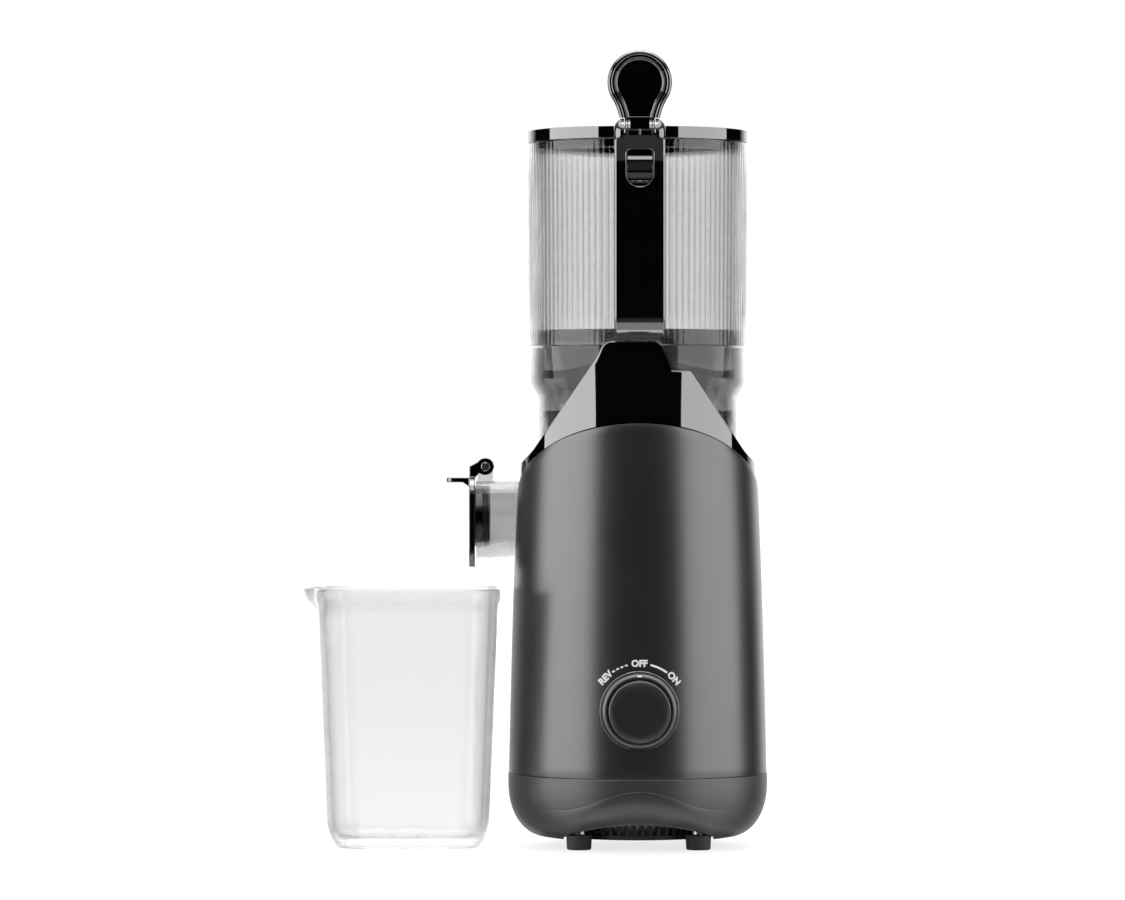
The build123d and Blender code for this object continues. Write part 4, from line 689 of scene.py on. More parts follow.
def set_floor():
    """A polished floor: to the camera white with a soft shadow, and to gloss a mirror of the room with a
    painted glow close to the juicer.
    """
    material, tree, look = new_finish("studio_floor", Emission_Color=grey(1.0))
    seen, _, glossy = tree.rays()
    tree.join(glossy, look["Metallic"])
    smoother = tree.times(glossy, FLOOR_ROUGHNESS - MIRROR_ROUGHNESS)
    tree.join(tree.minus(FLOOR_ROUGHNESS, smoother), look["Roughness"])
    tree.join(tree.mixed(glossy, grey(FLOOR_COLOUR), grey(FLOOR_MIRROR)), look["Base Color"])
    # painted light: the floor glows near the juicer for glossy rays only
    away = tree.add("ShaderNodeVectorMath", {0: tree.place()}, operation="LENGTH").outputs["Value"]
    painted_near_glow = tree.ramp(away, NEAR_FROM, NEAR_TO, NEAR_LIGHT, 0.0)
    tree.join(tree.plus(tree.times(seen, FLOOR_GLOW), tree.times(glossy, painted_near_glow)), look["Emission Strength"])
    half = FLOOR_SIZE / 2
    corners = [(-half, -half, 0), (half, -half, 0), (half, half, 0), (-half, half, 0)]
    mesh = bpy.data.meshes.new("floor")
    mesh.from_pydata(corners, [], [(0, 1, 2, 3)])
    mesh.materials.append(material)
    floor = placed("floor", mesh)


# ---- sizes of the body, from the frame where a node gives them ----
BODY_RADIUS = cad("base_skirt")[1].x
SEAM_Z = cad("body_shell")[0].z
SHELL_WALL = 2.8
RIM_HEIGHT = 212.5            # the shell's inclined rim above the axis
RIM_SLOPE = 0.57
SEAM_GAP = 0.3
DECK_Z = 163.0
DECK_THICKNESS = 4.0
SHAFT_HOLE = 14.1
CRADLE_BORE = 61.5
TOWER_BORE = 66.0
TOWER_STEP_Z = 274.0
TOWER_STEP = 6.0
SPOUT_Y = 24.0
KNOB_Z = 83.6
KNOB_FACE_Y = -76.9           # the flat boss behind the knob
BOSS_RADIUS = 23.3
BOSS_DEPTH = 6.5
ROUND_STEPS = 240             # points round the body's large rings

side_radius = curve_through([(43.2, 77.35), (110.0, 75.75), (175.0, 73.7), (240.0, 70.7)])
cradle_radius = curve_through([(175.0, 73.0), (215.0, 71.3), (250.0, 70.0), (300.4, 73.4)])


def rim_height(y):
    """Height of the shell's inclined rim at a distance behind the axis."""
    return RIM_HEIGHT - RIM_SLOPE * y


def on_circle(radius, angle, z):
    """The point at a radius, at an angle from the front and at a height."""
    return radius * math.sin(angle), -radius * math.cos(angle), z


def ring(radius_at):
    """Points round the axis at a radius and height that depend on the angle from the front."""
    points = []
    for step in range(ROUND_STEPS):
        angle = 2 * math.pi * step / ROUND_STEPS
        radius, z = radius_at(angle)
        points.append(on_circle(radius, angle, z))
    return points


def notches():
    """The gaps in the body for the juice spout and for the pulp chute."""
    spout = bar((-100, SPOUT_Y - 22.5, 168.5), (-52, SPOUT_Y + 22.5, 330), 12, "x")
    chute = bar((-16.5, 52, 170.5), (16.5, 100, 330), 6, "y")
    return spout, chute


# ---- body shell ----
def shell_shape():
    """Matte shell with an inclined rim and a rounded top edge."""
    edge, rings = 0.7, 40

    def level(share, inset, drop=0.0, lift=0.0):
        """One ring: the share of the way from the seam to the rim."""
        def at(angle):
            radius = 74.0    # a first guess, which the loop corrects
            for _ in range(3):
                top = rim_height(-radius * math.cos(angle)) - drop
                z = SEAM_Z + lift + (top - SEAM_Z - lift) * share
                radius = side_radius(z) - inset
            return radius, z
        return ring(at)

    rows = [level(0.0, SHELL_WALL), level(0.0, edge), level(0.0, 0.2, lift=0.2)]
    rows += [level(step / rings, 0.0, edge, edge) for step in range(rings + 1)]
    rows += [level(1.0, edge * (1 - math.cos(turn)), edge * (1 - math.sin(turn)))
             for turn in (math.radians(30), math.radians(60), math.radians(90))]
    rows += [level(1.0, SHELL_WALL)]
    rows += [level(1 - step / 8, SHELL_WALL, edge) for step in range(1, 8)]
    return skin(rows, closed=True)


def make_shell():
    """The matte shell with its knob boss and the holes for the knob's bush and the inlet."""
    front = facing((0, -1, 0), (0, KNOB_FACE_Y, KNOB_Z))
    boss = turned([(0, 0), (BOSS_RADIUS - 0.4, 0), (BOSS_RADIUS, -0.4), (BOSS_RADIUS, -BOSS_DEPTH),
                   (0, -BOSS_DEPTH)], 120)
    bush_hole = turned([(0, 2), (5.1, 2), (5.1, -16), (0, -16)], 48)
    inlet_hole = bar((-13.1, 60, 50.9), (13.1, 90, 69.1), 0.6, "y", steps=2)
    piece("body_shell_dressed", shell_shape(), "base", "shell_grey", ["body_shell"],
          unions=[moved(boss, front)], cutters=[notches()[0], moved(bush_hole, front), inlet_hole])


# ---- base skirt ----
CREASE_FRONT_Z = 35.8         # crease of the skirt in the middle of the front
CREASE_SIDE_Z = 24.8
CREASE_REACH = 0.62           # sine of the angle at which the crease has come down
UNDER_FRONT_RADIUS = 67.5     # lower edge of the skirt under the arch
SCOOP_REACH = 0.42            # sines of the angles between which the scoop runs out into the round side
SIDE_REACH = 0.84
SKIRT_BEND_Z = 38.0
SKIRT_LOW_Z = 5.4
SKIRT_FLOOR_RADIUS = 56.0
ARCH_RADIUS = 138.0
ARCH_CROWN_Z = 15.6
SKIRT_WALL = 2.4
COLLAR_INSET = 6.0            # the collar that stands up inside the shell
COLLAR_WALL = 3.0
COLLAR_Z = SEAM_Z + 4.8


def skirt_shape():
    """Skirt with an arched crease: the body's line above it and a scooped face under it."""
    def outer(z):
        """Radius of the uncreased skirt at a height."""
        if z >= SKIRT_BEND_Z:
            return BODY_RADIUS
        share = (SKIRT_BEND_Z - z) / (SKIRT_BEND_Z - SKIRT_LOW_Z)
        return SKIRT_FLOOR_RADIUS + (BODY_RADIUS - SKIRT_FLOOR_RADIUS) * math.sqrt(max(0.0, 1 - share ** 2.2))

    def parts(angle):
        """Crease height, foot radius and foot height at an angle from the front."""
        across = abs(math.sin(angle))
        crease = CREASE_FRONT_Z + (CREASE_SIDE_Z - CREASE_FRONT_Z) * eased(across, 0.0, CREASE_REACH)
        x = UNDER_FRONT_RADIUS * across
        arch = ARCH_CROWN_Z - ARCH_RADIUS + math.sqrt(ARCH_RADIUS ** 2 - x * x)
        foot_z = SKIRT_LOW_Z + 0.2 + max(arch - SKIRT_LOW_Z, 0.0)
        side = eased(across, SCOOP_REACH, SIDE_REACH)
        foot_radius = UNDER_FRONT_RADIUS + (outer(foot_z) - UNDER_FRONT_RADIUS) * side
        return crease, foot_radius, foot_z

    def band(share):
        """A ring between the seam and the crease."""
        def at(angle):
            top = SEAM_Z - 0.5
            z = top + (parts(angle)[0] + 0.4 - top) * share
            return outer(z), z
        return ring(at)

    def scoop(share):
        """A ring between the crease and the lower edge."""
        def at(angle):
            crease, foot_radius, foot_z = parts(angle)
            top = outer(crease) - 0.5
            z = crease - 0.2 + (foot_z + 0.6 - crease + 0.2) * share
            scooped = top + (foot_radius - top) * share ** 1.25 + 1.5 * math.sin(math.pi * share)
            side = eased(abs(math.sin(angle)), SCOOP_REACH, SIDE_REACH)
            return scooped + (outer(z) - scooped) * side, z
        return ring(at)

    def edge(inset, lift):
        """A ring round the lower edge."""
        return ring(lambda angle: (parts(angle)[1] - inset, parts(angle)[2] + lift))

    def inside(share):
        """A ring between the lower edge's inside and the foot of the collar."""
        def at(angle):
            _, foot_radius, foot_z = parts(angle)
            start = foot_radius - SKIRT_WALL
            radius = start + (BODY_RADIUS - COLLAR_INSET - start) * share
            return radius, foot_z + (SKIRT_BEND_Z - foot_z) * share
        return ring(at)

    def plain(inset, z):
        """A level ring."""
        return ring(lambda angle: (BODY_RADIUS - inset, z))

    rows = [plain(0.5, SEAM_Z - 0.05), plain(0.15, SEAM_Z - 0.2)]
    rows += [band(step / 14) for step in range(15)]
    rows += [scoop(step / 16) for step in range(17)]
    rows += [edge(0.25, 0.15), edge(0.8, 0.0), edge(SKIRT_WALL, 0.0)]
    rows += [inside(step / 6) for step in range(1, 7)]
    rows += [plain(COLLAR_INSET, COLLAR_Z), plain(COLLAR_WALL, COLLAR_Z), plain(COLLAR_WALL, SEAM_Z - 0.05)]
    return skin(rows, closed=True)


# ---- gloss cradle with its tower ----
RIM_SIDE = [(140.0, 170.0), (70.0, 198.0), (0.0, 226.0), (-27.9, 235.0), (-42.7, 247.5), (-54.6, 262.2),
            (-62.5, 276.8)]
TOWER_HALF = 64.2
TOWER_FRONT = [(-TOWER_HALF, 235.0, 0), (-25.3, 291.3, 7), (-20.8, 300.4, 7), (12.3, 300.4, 6),
               (17.4, 289.0, 8), (18.6, 283.2, 3.4), (30.8, 283.2, 2.2), (TOWER_HALF, 235.0, 0)]
CRADLE_STEPS = 900
CRADLE_MEAN = 71.0            # radius by which angles round the cradle become lengths
CRADLE_EDGE = 1.1


def cradle_shape():
    """Gloss cradle whose rim falls from the front tower to the rear, with a rounded rim."""
    side = sorted(smooth_line(RIM_SIDE))
    front = rounded(TOWER_FRONT, steps=10)

    def rim(angle):
        """Height of the rim at an angle from the front."""
        z, tries = 240.0, 6    # a first guess, which the loop corrects
        for number in range(tries):
            x, y, _ = on_circle(cradle_radius(z), angle, 0.0)
            height = line_height(side, y)
            if y < 0 and -TOWER_HALF < x < TOWER_HALF:
                tower = line_height(front, x)
                height = max(height, tower) if y > -62.5 else tower
            z = 0.5 * (z + height) if number < tries - 1 else height
        return z

    angles = [2 * math.pi * step / CRADLE_STEPS for step in range(CRADLE_STEPS)]
    heights = [rim(angle) for angle in angles]
    normals = []
    for index in range(CRADLE_STEPS):
        rise = heights[(index + 1) % CRADLE_STEPS] - heights[index - 1]
        normals.append(Vector((-rise, 2 * 2 * math.pi / CRADLE_STEPS * CRADLE_MEAN)).normalized())

    def row(share, inset, depth):
        """A ring of the outside: a share of the way up, inset from the rim and sunk into the wall."""
        points = []
        for angle, height, normal in zip(angles, heights, normals):
            low = rim_height(-CRADLE_MEAN * math.cos(angle)) + SEAM_GAP
            for _ in range(2):
                low = rim_height(-cradle_radius(low) * math.cos(angle)) + SEAM_GAP
            top_angle = angle - normal.x * inset / CRADLE_MEAN
            top = height - normal.y * inset
            z = low + (top - low) * share
            points.append(on_circle(cradle_radius(z) - depth, angle + (top_angle - angle) * share, z))
        return points

    def inner(share):
        """A ring of the bore, a share of the way down from the rim to the deck."""
        points = []
        for angle, height in zip(angles, heights):
            z = height + (DECK_Z - height) * share
            step = min(max((z - TOWER_STEP_Z + TOWER_STEP) / TOWER_STEP, 0.0), 1.0)
            points.append(on_circle(CRADLE_BORE + (TOWER_BORE - CRADLE_BORE) * step, angle, z))
        return points

    low_ring, high_ring = [], []
    for angle in angles:
        low_ring.append(on_circle(side_radius(DECK_Z) - SHELL_WALL - 0.6, angle, DECK_Z))
        z = rim_height(-CRADLE_MEAN * math.cos(angle)) - 0.6
        high_ring.append(on_circle(side_radius(z) - SHELL_WALL - 0.3, angle, z))
    rows = [row(0.0, 0.0, 0.5), row(0.004, 0.0, 0.0)]
    rows += [row(step / 22, CRADLE_EDGE, 0.0) for step in range(1, 23)]
    rows += [row(1.0, CRADLE_EDGE * (1 - math.sin(turn)), CRADLE_EDGE * (1 - math.cos(turn)))
             for turn in (math.radians(22), math.radians(45), math.radians(68), math.radians(90))]
    rows += [inner(step / 14) for step in range(15)]
    return skin(rows + [low_ring, high_ring], closed=True)


def make_cradle():
    """The gloss cradle with its deck, the notch in the tower's right corner and the outlet gaps."""
    deck_low, deck_top = DECK_Z - DECK_THICKNESS, DECK_Z - 0.01
    deck = turned([(SHAFT_HOLE, deck_low), (CRADLE_BORE + 1, deck_low), (CRADLE_BORE + 1, deck_top),
                   (SHAFT_HOLE, deck_top)], 120)
    corner = [(15.0, 283.25), (40.0, 283.25), (40.0, 310.0), (7.2093, 310.0)]
    notch = prism(corner, lambda x, z, y: (x, y, z), -67.6, -90.0)
    piece("cradle_dressed", cradle_shape(), "base", "gloss_black", ["cradle"], sharp=30,
          cutters=[*notches(), notch], unions=[deck])


# ---- rotary knob and its dial ----
KNOB_BACK_Y = -77.3
POINTER_Y, POINTER_Z = KNOB_BACK_Y - 5.95, KNOB_Z + 20.5
DIAL_RADIUS = 27.6
LETTER_HEIGHT = 4.0
SIZE_PER_HEIGHT = 1.34        # the font's size for a capital of height 1
LETTER_BOLDNESS = 0.24
MARK_DEPTH = 0.12


def make_knob():
    """Knob with a rounded skirt, a groove and a lightly dished face."""
    skirt = [(22.3 - 3.2 * (1 - math.cos(turn)), 2.6 + 3.6 * math.sin(turn))
             for turn in (math.radians(step * 9) for step in range(1, 11))]
    profile = [(0, 0), (21.7, 0), (22.15, 0.3), (22.3, 0.9), *skirt, (18.75, 6.1), (18.5, 5.7), (18.45, 4.4),
               (18.2, 4.4), (18.15, 16.2), (18.05, 16.75), (17.7, 17.15), (17.25, 17.3), (16.9, 17.2),
               (16.6, 17.0), (12.0, 16.85), (6.0, 16.8), (0, 16.8)]
    piece("knob_dressed", moved(turned(profile, 160), facing((0, -1, 0), (0, KNOB_BACK_Y, KNOB_Z))),
          "knob", "knob_black", ["knob"], sharp=40)
    dash = plate(rounded_box(-1.4, -0.55, 1.4, 0.55, 0.4, 0.4, 3), 0.3, 0.05, 1)
    piece("knob_pointer_dressed", moved(dash, facing((0, -0.86, 0.5), (0, POINTER_Y, POINTER_Z))),
          "knob", "dial_white", ["knob_pointer"])


def on_shell(flat):
    """Lays a flat shape, in millimetres about the knob's centre, on the shell's round front."""
    points, faces = flat
    laid = []
    for x, y, z in points:
        radius = side_radius(KNOB_Z + y) + z
        laid.append((x, -math.sqrt(radius * radius - x * x), KNOB_Z + y))
    return laid, faces


def word(text, turn):
    """A flat word on the dial, turned about the knob's centre by an angle in degrees."""
    curve = bpy.data.curves.new("word", "FONT")
    curve.body = text
    curve.size = LETTER_HEIGHT * SIZE_PER_HEIGHT
    curve.offset = LETTER_BOLDNESS
    curve.align_x = "CENTER"
    curve.align_y = "CENTER"
    curve.extrude = MARK_DEPTH
    curve.resolution_u = 4
    place = Matrix.Rotation(-math.radians(turn), 4, "Z") @ Matrix.Translation((0, DIAL_RADIUS, 0))
    return moved(filled(curve), place)


def arc_bar(start, end, width):
    """A flat bar bent along the dial between two angles."""
    steps = max(2, int((end - start) / 2))
    outer, inner = [], []
    for step in range(steps + 1):
        angle = math.radians(start + (end - start) * step / steps)
        for line, radius in ((outer, DIAL_RADIUS + width / 2), (inner, DIAL_RADIUS - width / 2)):
            line.append((radius * math.sin(angle), radius * math.cos(angle)))
    return prism(outer + inner[::-1], lambda x, y, z: (x, y, z), -MARK_DEPTH, MARK_DEPTH)


def make_dial():
    """Printed words and travel marks round the knob, as thin raised ink."""
    shapes = [word("OFF", 0), word("REV", -46), word("ON", 47)]
    shapes += [arc_bar(start, start + 3.4, 1.0) for start in (-35.0, -29.3, -23.6, -17.9)]
    shapes.append(arc_bar(13.5, 36, 1.2))
    piece("dial_marks", on_shell(together(*shapes)), "base", "dial_white")


# ---- fluted hopper wall; this tree is measured in metres ----
def grown(tree, values, material):
    """The mesh that a Geometry Nodes tree makes with these inputs."""
    holder = placed("grown", bpy.data.meshes.new("grown"))
    modifier = holder.modifiers.new("grown", "NODES")
    modifier.node_group = tree.tree
    keys = {item.name: item.identifier for item in tree.tree.interface.items_tree if item.in_out == "INPUT"}
    for label, value in values.items():
        modifier[keys[label]] = value
    modifier[keys["Finish"]] = finishes[material]
    return applied(holder)


POINTS_PER_FLUTE = 8.0
FLUTE_END = -0.001, 0.0015    # the flutes run out between these heights from where they start or stop
HOPPER_EDGE = 0.0006


def hopper_tree():
    """A clear tube whose outside is moulded in upright flutes between two plain bands."""
    tree, given, leave = new_group("GeometryNodeTree", "fluted_hopper", {
        "Radius": 0.0638, "Wall": 0.0026, "Bottom": 0.2984, "Top": 0.42, "Flutes": 102,
        "Flute Depth": 0.00045, "Flutes From": 0.307, "Flutes To": 0.414, "Flare": 0.0008,
        "Finish": "NodeSocketMaterial"}, {"Geometry": "NodeSocketGeometry"})
    times, plus, minus = tree.times, tree.plus, tree.minus
    height = minus(given["Top"], given["Bottom"])
    points = times(given["Flutes"], POINTS_PER_FLUTE)
    path = tree.add("GeometryNodeCurvePrimitiveCircle", {"Resolution": points, "Radius": given["Radius"]},
                    mode="RADIUS")
    section = tree.add("GeometryNodeCurvePrimitiveQuadrilateral",
                       {"Width": given["Wall"], "Height": height}, mode="RECTANGLE")
    soft = tree.add("GeometryNodeFilletCurve",
                    {"Curve": section.outputs["Curve"], "Count": 3, "Radius": HOPPER_EDGE}, mode="POLY")
    fine = tree.add("GeometryNodeSubdivideCurve", {"Curve": soft.outputs["Curve"], "Cuts": 5})
    tube = tree.add("GeometryNodeCurveToMesh",
                    {"Curve": path.outputs["Curve"], "Profile Curve": fine.outputs["Curve"]})
    place = tree.add("GeometryNodeInputPosition").outputs["Position"]
    along = tree.add("ShaderNodeSeparateXYZ", {0: place}).outputs
    angle = tree.maths("ARCTAN2", along["Y"], along["X"])
    radius = tree.maths("SQRT", plus(times(along["X"], along["X"]), times(along["Y"], along["Y"])))
    level = plus(along["Z"], plus(given["Bottom"], times(height, 0.5)))
    fluted = tree.maths("GREATER_THAN", radius, given["Radius"])
    ramps = [tree.ramp(times(minus(level, given[label]), sign), *FLUTE_END, interpolation_type="SMOOTHSTEP")
             for label, sign in (("Flutes From", 1.0), ("Flutes To", -1.0))]
    fluted = times(times(*ramps), fluted)
    wave = tree.maths("ABSOLUTE", tree.maths("SINE", times(angle, times(given["Flutes"], 0.5))))
    hollow = minus(1.0, wave)
    groove = times(times(hollow, given["Flute Depth"]), fluted)
    flare = times(tree.maths("DIVIDE", minus(level, given["Bottom"]), height), given["Flare"])
    new_radius = minus(plus(radius, flare), groove)
    there = tree.add("ShaderNodeCombineXYZ", {"X": times(new_radius, tree.maths("COSINE", angle)),
                                              "Y": times(new_radius, tree.maths("SINE", angle)), "Z": level})
    # mask of the painted shade in the flute valleys, stored on the mesh for the hopper's finish
    painted_valley_shade = times(tree.maths("POWER", hollow, 2.0), fluted)
    mark = tree.add("GeometryNodeStoreNamedAttribute",
                    {"Geometry": tube.outputs["Mesh"], "Name": "painted_valley_shade", "Value": painted_valley_shade},
                    data_type="FLOAT", domain="POINT")
    shift = tree.add("GeometryNodeSetPosition",
                     {"Geometry": mark.outputs["Geometry"], "Position": there.outputs["Vector"]})
    real = tree.add("GeometryNodeRealizeInstances", {"Geometry": shift.outputs["Geometry"]})
    dress = tree.add("GeometryNodeSetMaterial",
                     {"Geometry": real.outputs["Geometry"], "Material": given["Finish"]})
    tree.join(dress.outputs["Geometry"], leave["Geometry"])
    return tree


def make_hopper():
    """The clear fluted wall of the hopper."""
    low, high = cad("hopper_wall")
    mesh = grown(hopper_tree(), {"Bottom": low.z * MM, "Top": high.z * MM}, "hopper_clear")
    piece("hopper_wall_dressed", mesh, "hopper", "hopper_clear", ["hopper_wall"], sharp=50)


# ---- handle, hinge barrel and tongue ----
HINGE_Y, HINGE_Z = -86.0, 421.3
HINGE_RADIUS = 8.8
KNUCKLE_HALF = 8.8
KNUCKLE_LIFT = 0.1
PARTING_DEPTH = 0.45
LINE_DEPTH = 0.28
EAR_GAP = 9.1
EAR_BEND_X = 9.6              # where each ear starts to round off
EAR_REACH = 5.9
HANDLE_INNER_Y = -55.0        # the arms run to here before they are cut to the hopper's round
HANDLE_SEAT = 66.0
ARM_Z = 418.5
GRIP_BACK_Y, GRIP_LOW, GRIP_HIGH = -85.5, 314.2, 405.5
TONGUE_HALF = 8.7
TONGUE_LOW, TONGUE_HIGH = 389.0, 412.0
TONGUE_ROUND = 3.0
TO_SIDE = Matrix(((0, 0, 1, 0), (1, 0, 0, 0), (0, 1, 0, 0), (0, 0, 0, 1)))    # flat x, y, z to world y, z, x


def round_hinge(profile, steps=96):
    """A shape turned about the hinge axis from (radius, x) points."""
    return moved(turned(profile, steps), Matrix.Translation((0, HINGE_Y, HINGE_Z)) @ TO_SIDE)


def make_handle():
    """Handle as one side shape with rounded edges, round ears for the hinge and a recess for the tongue."""
    low, high = cad("handle")
    last = -math.asin((HINGE_Z - ARM_Z) / HINGE_RADIUS)
    ear = [(HINGE_Y + HINGE_RADIUS * math.cos(angle), HINGE_Z + HINGE_RADIUS * math.sin(angle), 0)
           for angle in (math.pi + (last - math.pi) * step / 28 for step in range(29))]
    side = rounded([(HANDLE_INNER_Y, low.z, 0), (low.y, low.z, 15), (low.y, 404.0, 15), *ear,
                    (HANDLE_INNER_Y, ARM_Z, 0), (HANDLE_INNER_Y, GRIP_HIGH, 0), (GRIP_BACK_Y, GRIP_HIGH, 8),
                    (GRIP_BACK_Y, GRIP_LOW, 8), (HANDLE_INNER_Y, GRIP_LOW, 0)], True, 14)
    dome = [(HINGE_RADIUS * math.sqrt(1 - min(1.0, 0.85 * ((x - EAR_BEND_X) / EAR_REACH) ** 2)), x)
            for x in (EAR_BEND_X + 0.6 * step for step in range(1, 11))]
    gap_radius, over = HINGE_RADIUS + 0.35, HINGE_RADIUS + 1.0
    cutters = [turned([(1, 290), (HANDLE_SEAT, 290), (HANDLE_SEAT, 430), (1, 430)], 160),
               round_hinge([(0, -EAR_GAP), (gap_radius, -EAR_GAP), (gap_radius, EAR_GAP), (0, EAR_GAP)])]
    for turn in (1, -1):
        line = [(HINGE_RADIUS + 0.03, EAR_BEND_X), *dome, (over, dome[-1][1]), (over, EAR_BEND_X)]
        cutters.append(round_hinge([(radius, turn * x) for radius, x in line]))
    recess = rounded_box(-9.0, 388.7, 9.0, 412.3, 8.95, 3, 12)
    cutters.append(prism(recess, lambda x, z, y: (x, y, z), -95.4, -100.0))
    piece("handle_dressed", moved(plate(side, high.x - low.x, 2.0, 4), TO_SIDE),
          "hopper", "gloss_black", ["handle"], sharp=40, cutters=cutters)


def make_lid():
    """The lid, and in place of its plain hinge barrel one with a parting groove, tool lines and flats."""
    plain_barrel = bar((-9.0, -97.0, 410.0), (9.0, -79.5, 432.0), 0.2, "x", 2)
    dressed("lid", "lid", "gloss_black", 0.6, cutters=[plain_barrel])
    half = [(HINGE_RADIUS + KNUCKLE_LIFT - depth, x) for x, depth in (
        (0, PARTING_DEPTH), (0.55, 0), (6.9, 0), (7.2, LINE_DEPTH), (7.5, 0), (KNUCKLE_HALF - 0.5, 0),
        (KNUCKLE_HALF, 0.5))]
    profile = [(0, -KNUCKLE_HALF)] + [(radius, -x) for radius, x in half[:0:-1]] + half + [(0, KNUCKLE_HALF)]
    flats = [bar((x0, HINGE_Y - 12.0, HINGE_Z + z0), (x1, HINGE_Y + back, HINGE_Z + z1), 0.4, "x", 3)
             for x0, x1, z0, z1, back in ((-5.4, -0.9, -7.4, 1.0, -7.6), (0.9, 5.4, -7.4, 1.0, -7.6),
                                          (-5.6, 5.6, 2.2, 12.0, -2.9))]
    piece("hinge_barrel", round_hinge(profile, 128), "lid", "gloss_black", sharp=25, cutters=flats)


def make_tongue():
    """The tongue under the hinge: a beaded rim round a dished face with a black block at its top."""
    outline = rounded_box(-TONGUE_HALF, TONGUE_LOW, TONGUE_HALF, TONGUE_HIGH, TONGUE_HALF - 0.05,
                          TONGUE_ROUND, 20)
    fine = []
    for (x0, z0), (x1, z1) in zip(outline, outline[1:] + outline[:1]):
        cuts = max(1, int(math.hypot(x1 - x0, z1 - z0) / 0.6))
        fine += [(x0 + (x1 - x0) * cut / cuts, z0 + (z1 - z0) * cut / cuts) for cut in range(cuts)]
    face = [(388.0, -95.9), (392.2, -95.9), (393.4, -97.1), (394.6, -97.0), (398.6, -96.0), (404.6, -97.5),
            (405.4, -97.6), (407.6, -96.4), (408.2, -96.3), (413.0, -96.3)]
    bead = [(TONGUE_HALF, -95.5), (0.0, -95.5), (0.0, -97.3), (0.2, -97.75), (0.55, -98.0), (0.95, -97.85),
            (1.25, -97.4), (1.4, -96.9)]

    def ring_at(inset, height=None):
        """The outline drawn in towards its middle line, at a height or on the dished face."""
        points = []
        for x, z in fine:
            middle = min(max(z, TONGUE_LOW + TONGUE_HALF), TONGUE_HIGH - TONGUE_ROUND)
            share = 1 - inset / TONGUE_HALF
            level = middle + (z - middle) * share
            points.append((x * share, line_height(face, level) if height is None else height, level))
        return points

    rows = [ring_at(inset, height) for inset, height in bead]
    rows += [ring_at(1.55 + (TONGUE_HALF - 1.55) * step / 9) for step in range(10)]
    piece("hinge_cover_dressed", skin(rows), "hopper", "gloss_black", ["hinge_cover"], sharp=32)


# ---- thumb lever ----
LEVER_FRONT_Y = -89.0
LEVER_DEPTH = 6.0
LEVER_HEAD_Z = 451.3
LEVER_HEAD_RADIUS = 18.9
LEVER_FOOT_Z = HINGE_Z + HINGE_RADIUS + 0.3


def lever_outline():
    """Outline of the paddle seen from the front: a round head, a narrow neck and a wider shoulder."""
    start, arcs = math.radians(-24), 40
    neck = [(11.9, LEVER_FOOT_Z), (11.95, 431.4), (12.6, 433.4), (13.7, 436.8), (15.5, 440.6)]
    head = [(LEVER_HEAD_RADIUS * math.cos(angle), LEVER_HEAD_Z + LEVER_HEAD_RADIUS * math.sin(angle))
            for angle in (start + (math.pi / 2 - start) * step / arcs for step in range(arcs))]
    right = smooth_line(neck + head[:1], 6)[:-1] + head
    return right + [(-x, z) for x, z in right[-2::-1]]


def make_lever():
    """Paddle with a rounded rim, a groove and a raised bead round a bare panel, on both faces."""
    face = [(0.0, 2.2), (0.25, 1.2), (0.8, 0.4), (1.6, 0.0), (2.4, 0.1), (3.0, 0.7), (3.3, 1.6), (3.5, 1.75),
            (3.8, 1.6), (4.0, 1.15), (4.5, 0.95), (5.0, 1.15), (5.25, 1.7), (5.5, 2.1), (6.2, 2.2)]
    profile = face[::-1] + [(inset, LEVER_DEPTH - drop) for inset, drop in face]
    outline = lever_outline()
    points, faces = relief(outline, profile, outline[0][1])
    paddle = [(x, LEVER_FRONT_Y + height, z) for x, z, height in points], faces
    root = bar((-8.6, -86.9, 427.2), (8.6, -83.4, 431.4), 0.5, "x", 3)
    piece("thumb_lever_dressed", together(paddle, root), "lid", "gloss_black", ["thumb_lever"], sharp=50)


# ---- jug ----
JUG_X = -137.0
JUG_WALL = 2.4
JUG_CORNER = 24.0
JUG_BEND_Z = 17.0             # where the rounded lower edge meets the straight side
JUG_TOP_Z = 154.0
FOOT_SIDE, BEND_SIDE, TOP_SIDE = 84.0, 97.0, 108.0    # widths at the floor, at the bend and at the top
LIP_REACH = 9.0
LIP_LOW, LIP_HIGH = 128.0, 154.5
LIP_HALF = 30.0


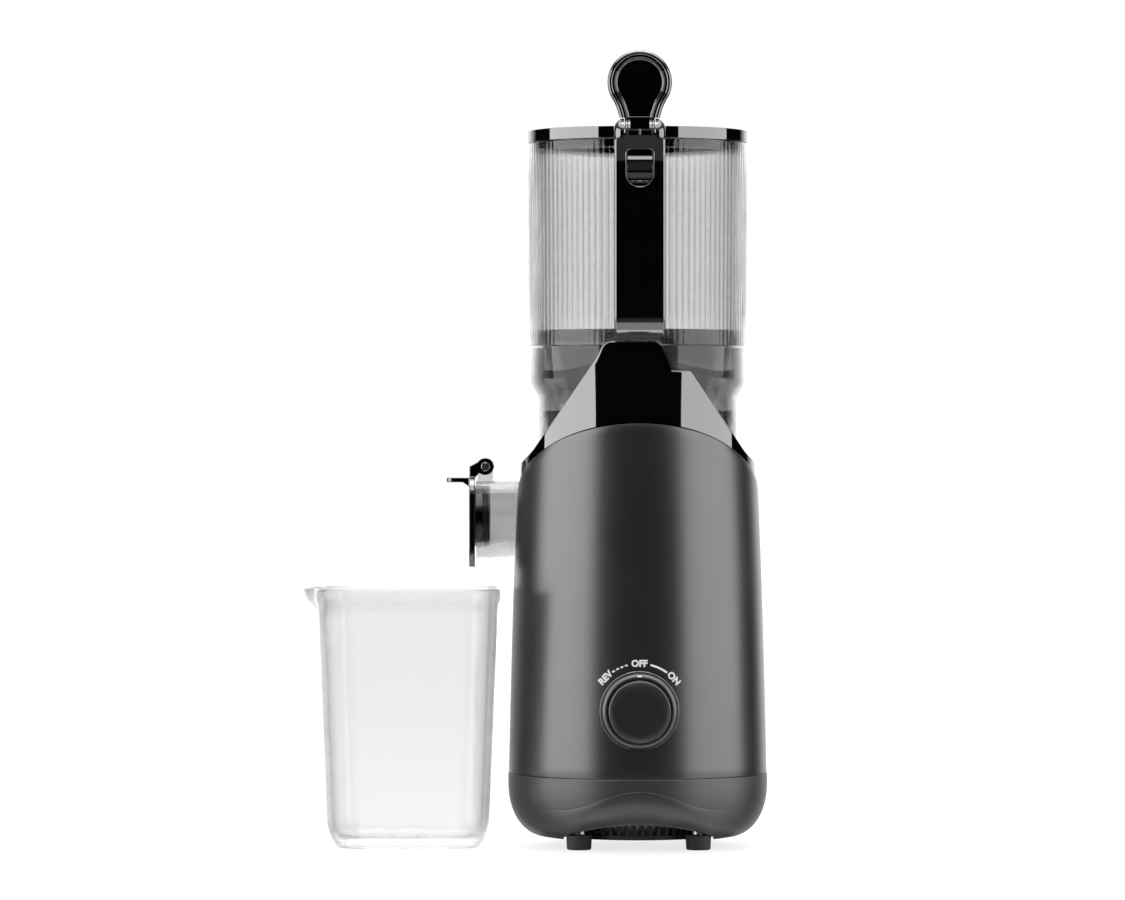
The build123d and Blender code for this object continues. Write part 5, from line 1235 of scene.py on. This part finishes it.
def jug_shape():
    """Beaker: a rounded square that widens upwards, with a thick rim and a pouring lip."""
    def side_at(z):
        """Width of the jug at a height."""
        if z < JUG_BEND_Z:
            return FOOT_SIDE + (BEND_SIDE - FOOT_SIDE) * math.sin(math.radians(90 * z / JUG_BEND_Z)) ** 0.8
        return BEND_SIDE + (TOP_SIDE - BEND_SIDE) * (z - JUG_BEND_Z) / (JUG_TOP_Z - JUG_BEND_Z)

    def square(side, z, inset=0.0):
        """A rounded square ring at a height, pushed out into the lip on the far side."""
        half = side / 2 - inset
        turn = max(JUG_CORNER * side / TOP_SIDE - inset, 2.0)
        reach = LIP_REACH * eased(z, LIP_LOW, LIP_HIGH) ** 1.3
        outline = rounded_box(-half, -half, half, half, turn, turn, 10)
        line = []
        for (x0, y0), (x1, y1) in zip(outline, outline[1:] + outline[:1]):
            cuts = 14 if math.hypot(x1 - x0, y1 - y0) > 20 else 1
            for share in (cut / cuts for cut in range(cuts)):
                x, y = x0 + (x1 - x0) * share, y0 + (y1 - y0) * share
                push = reach * (1 - eased(abs(y), 2.0, LIP_HALF)) if x < 0 else 0.0
                line.append((JUG_X + x - push, y, z))
        return line

    foot = [(60, 1.2), (78, 1.0), (80, 0.2), (83, 0.0), (85, 0.5)]
    rim = [(side_at(145.0) + 0.6, 145.0), (109.2, 145.8), (109.8, 147.0), (109.9, 150.0), (109.9, 152.6),
           (109.4, 153.6), (108.4, 154.0), (106.6, 154.0), (105.2, 153.4), (104.6, 152.0)]
    outside = [(side_at(z), z) for z in (2, 4, 6.5, 9, 12, 15, 18, 24, *range(30, 145, 5))]
    inside = [(side_at(z), z, JUG_WALL) for z in (*range(145, 29, -5), 24, 18, 14, 10)]
    floor = [(side_at(8.0), 7.6, JUG_WALL + 2.2), (side_at(6.0), 6.3, JUG_WALL + 6.0), (60, 6.0)]
    rows = [square(*values) for values in foot + outside + rim + inside + floor]
    return skin([[(JUG_X, 0.0, 1.2)], *rows, [(JUG_X, 0.0, 6.0)]])


# ---- pieces and finishes of the CAD nodes ----
def make_secondary():
    """Pieces whose CAD shape is right, given soft edges."""
    for node, body, material, bevel, segments in (
            ("rubber_feet", "base", "foot_rubber", 0.5, 3), ("spout_cap", "cap", "gloss_black", 0.6, 3),
            ("auger", "auger", "auger_black", 0.0, 3), ("strainer_frame", "bowl", "strainer_black", 0.0, 3),
            ("cap_pin", "bowl", "pin_chrome", 0.3, 3), ("bottom_plate", "base", "plate_black", 0.0, 3),
            ("power_inlet", "base", "switch_black", 0.3, 3), ("juice_bowl", "bowl", "bowl_clear", 0.35, 2),
            ("hopper_floor", "hopper", "smoke_floor", 0.35, 2)):
        dressed(node, body, material, bevel, segments)


def finish_inner():
    """Gives each CAD node that still shows its procedural finish."""
    for entry in frame["record"]["subparts"]:
        for slot in frame["nodes"][entry["node"]].material_slots:
            slot.material = finishes[entry["material_slot"]]


set_world()
set_camera()
set_lights()
set_floor()
make_shell()
piece("base_skirt_dressed", skirt_shape(), "base", "skirt_grey", ["base_skirt"], sharp=14)
make_cradle()
make_knob()
make_dial()
make_hopper()
make_secondary()
make_handle()
make_lid()
make_tongue()
make_lever()
piece("juice_jug_dressed", jug_shape(), "jug", "jug_clear", ["juice_jug"], sharp=60)
finish_inner()
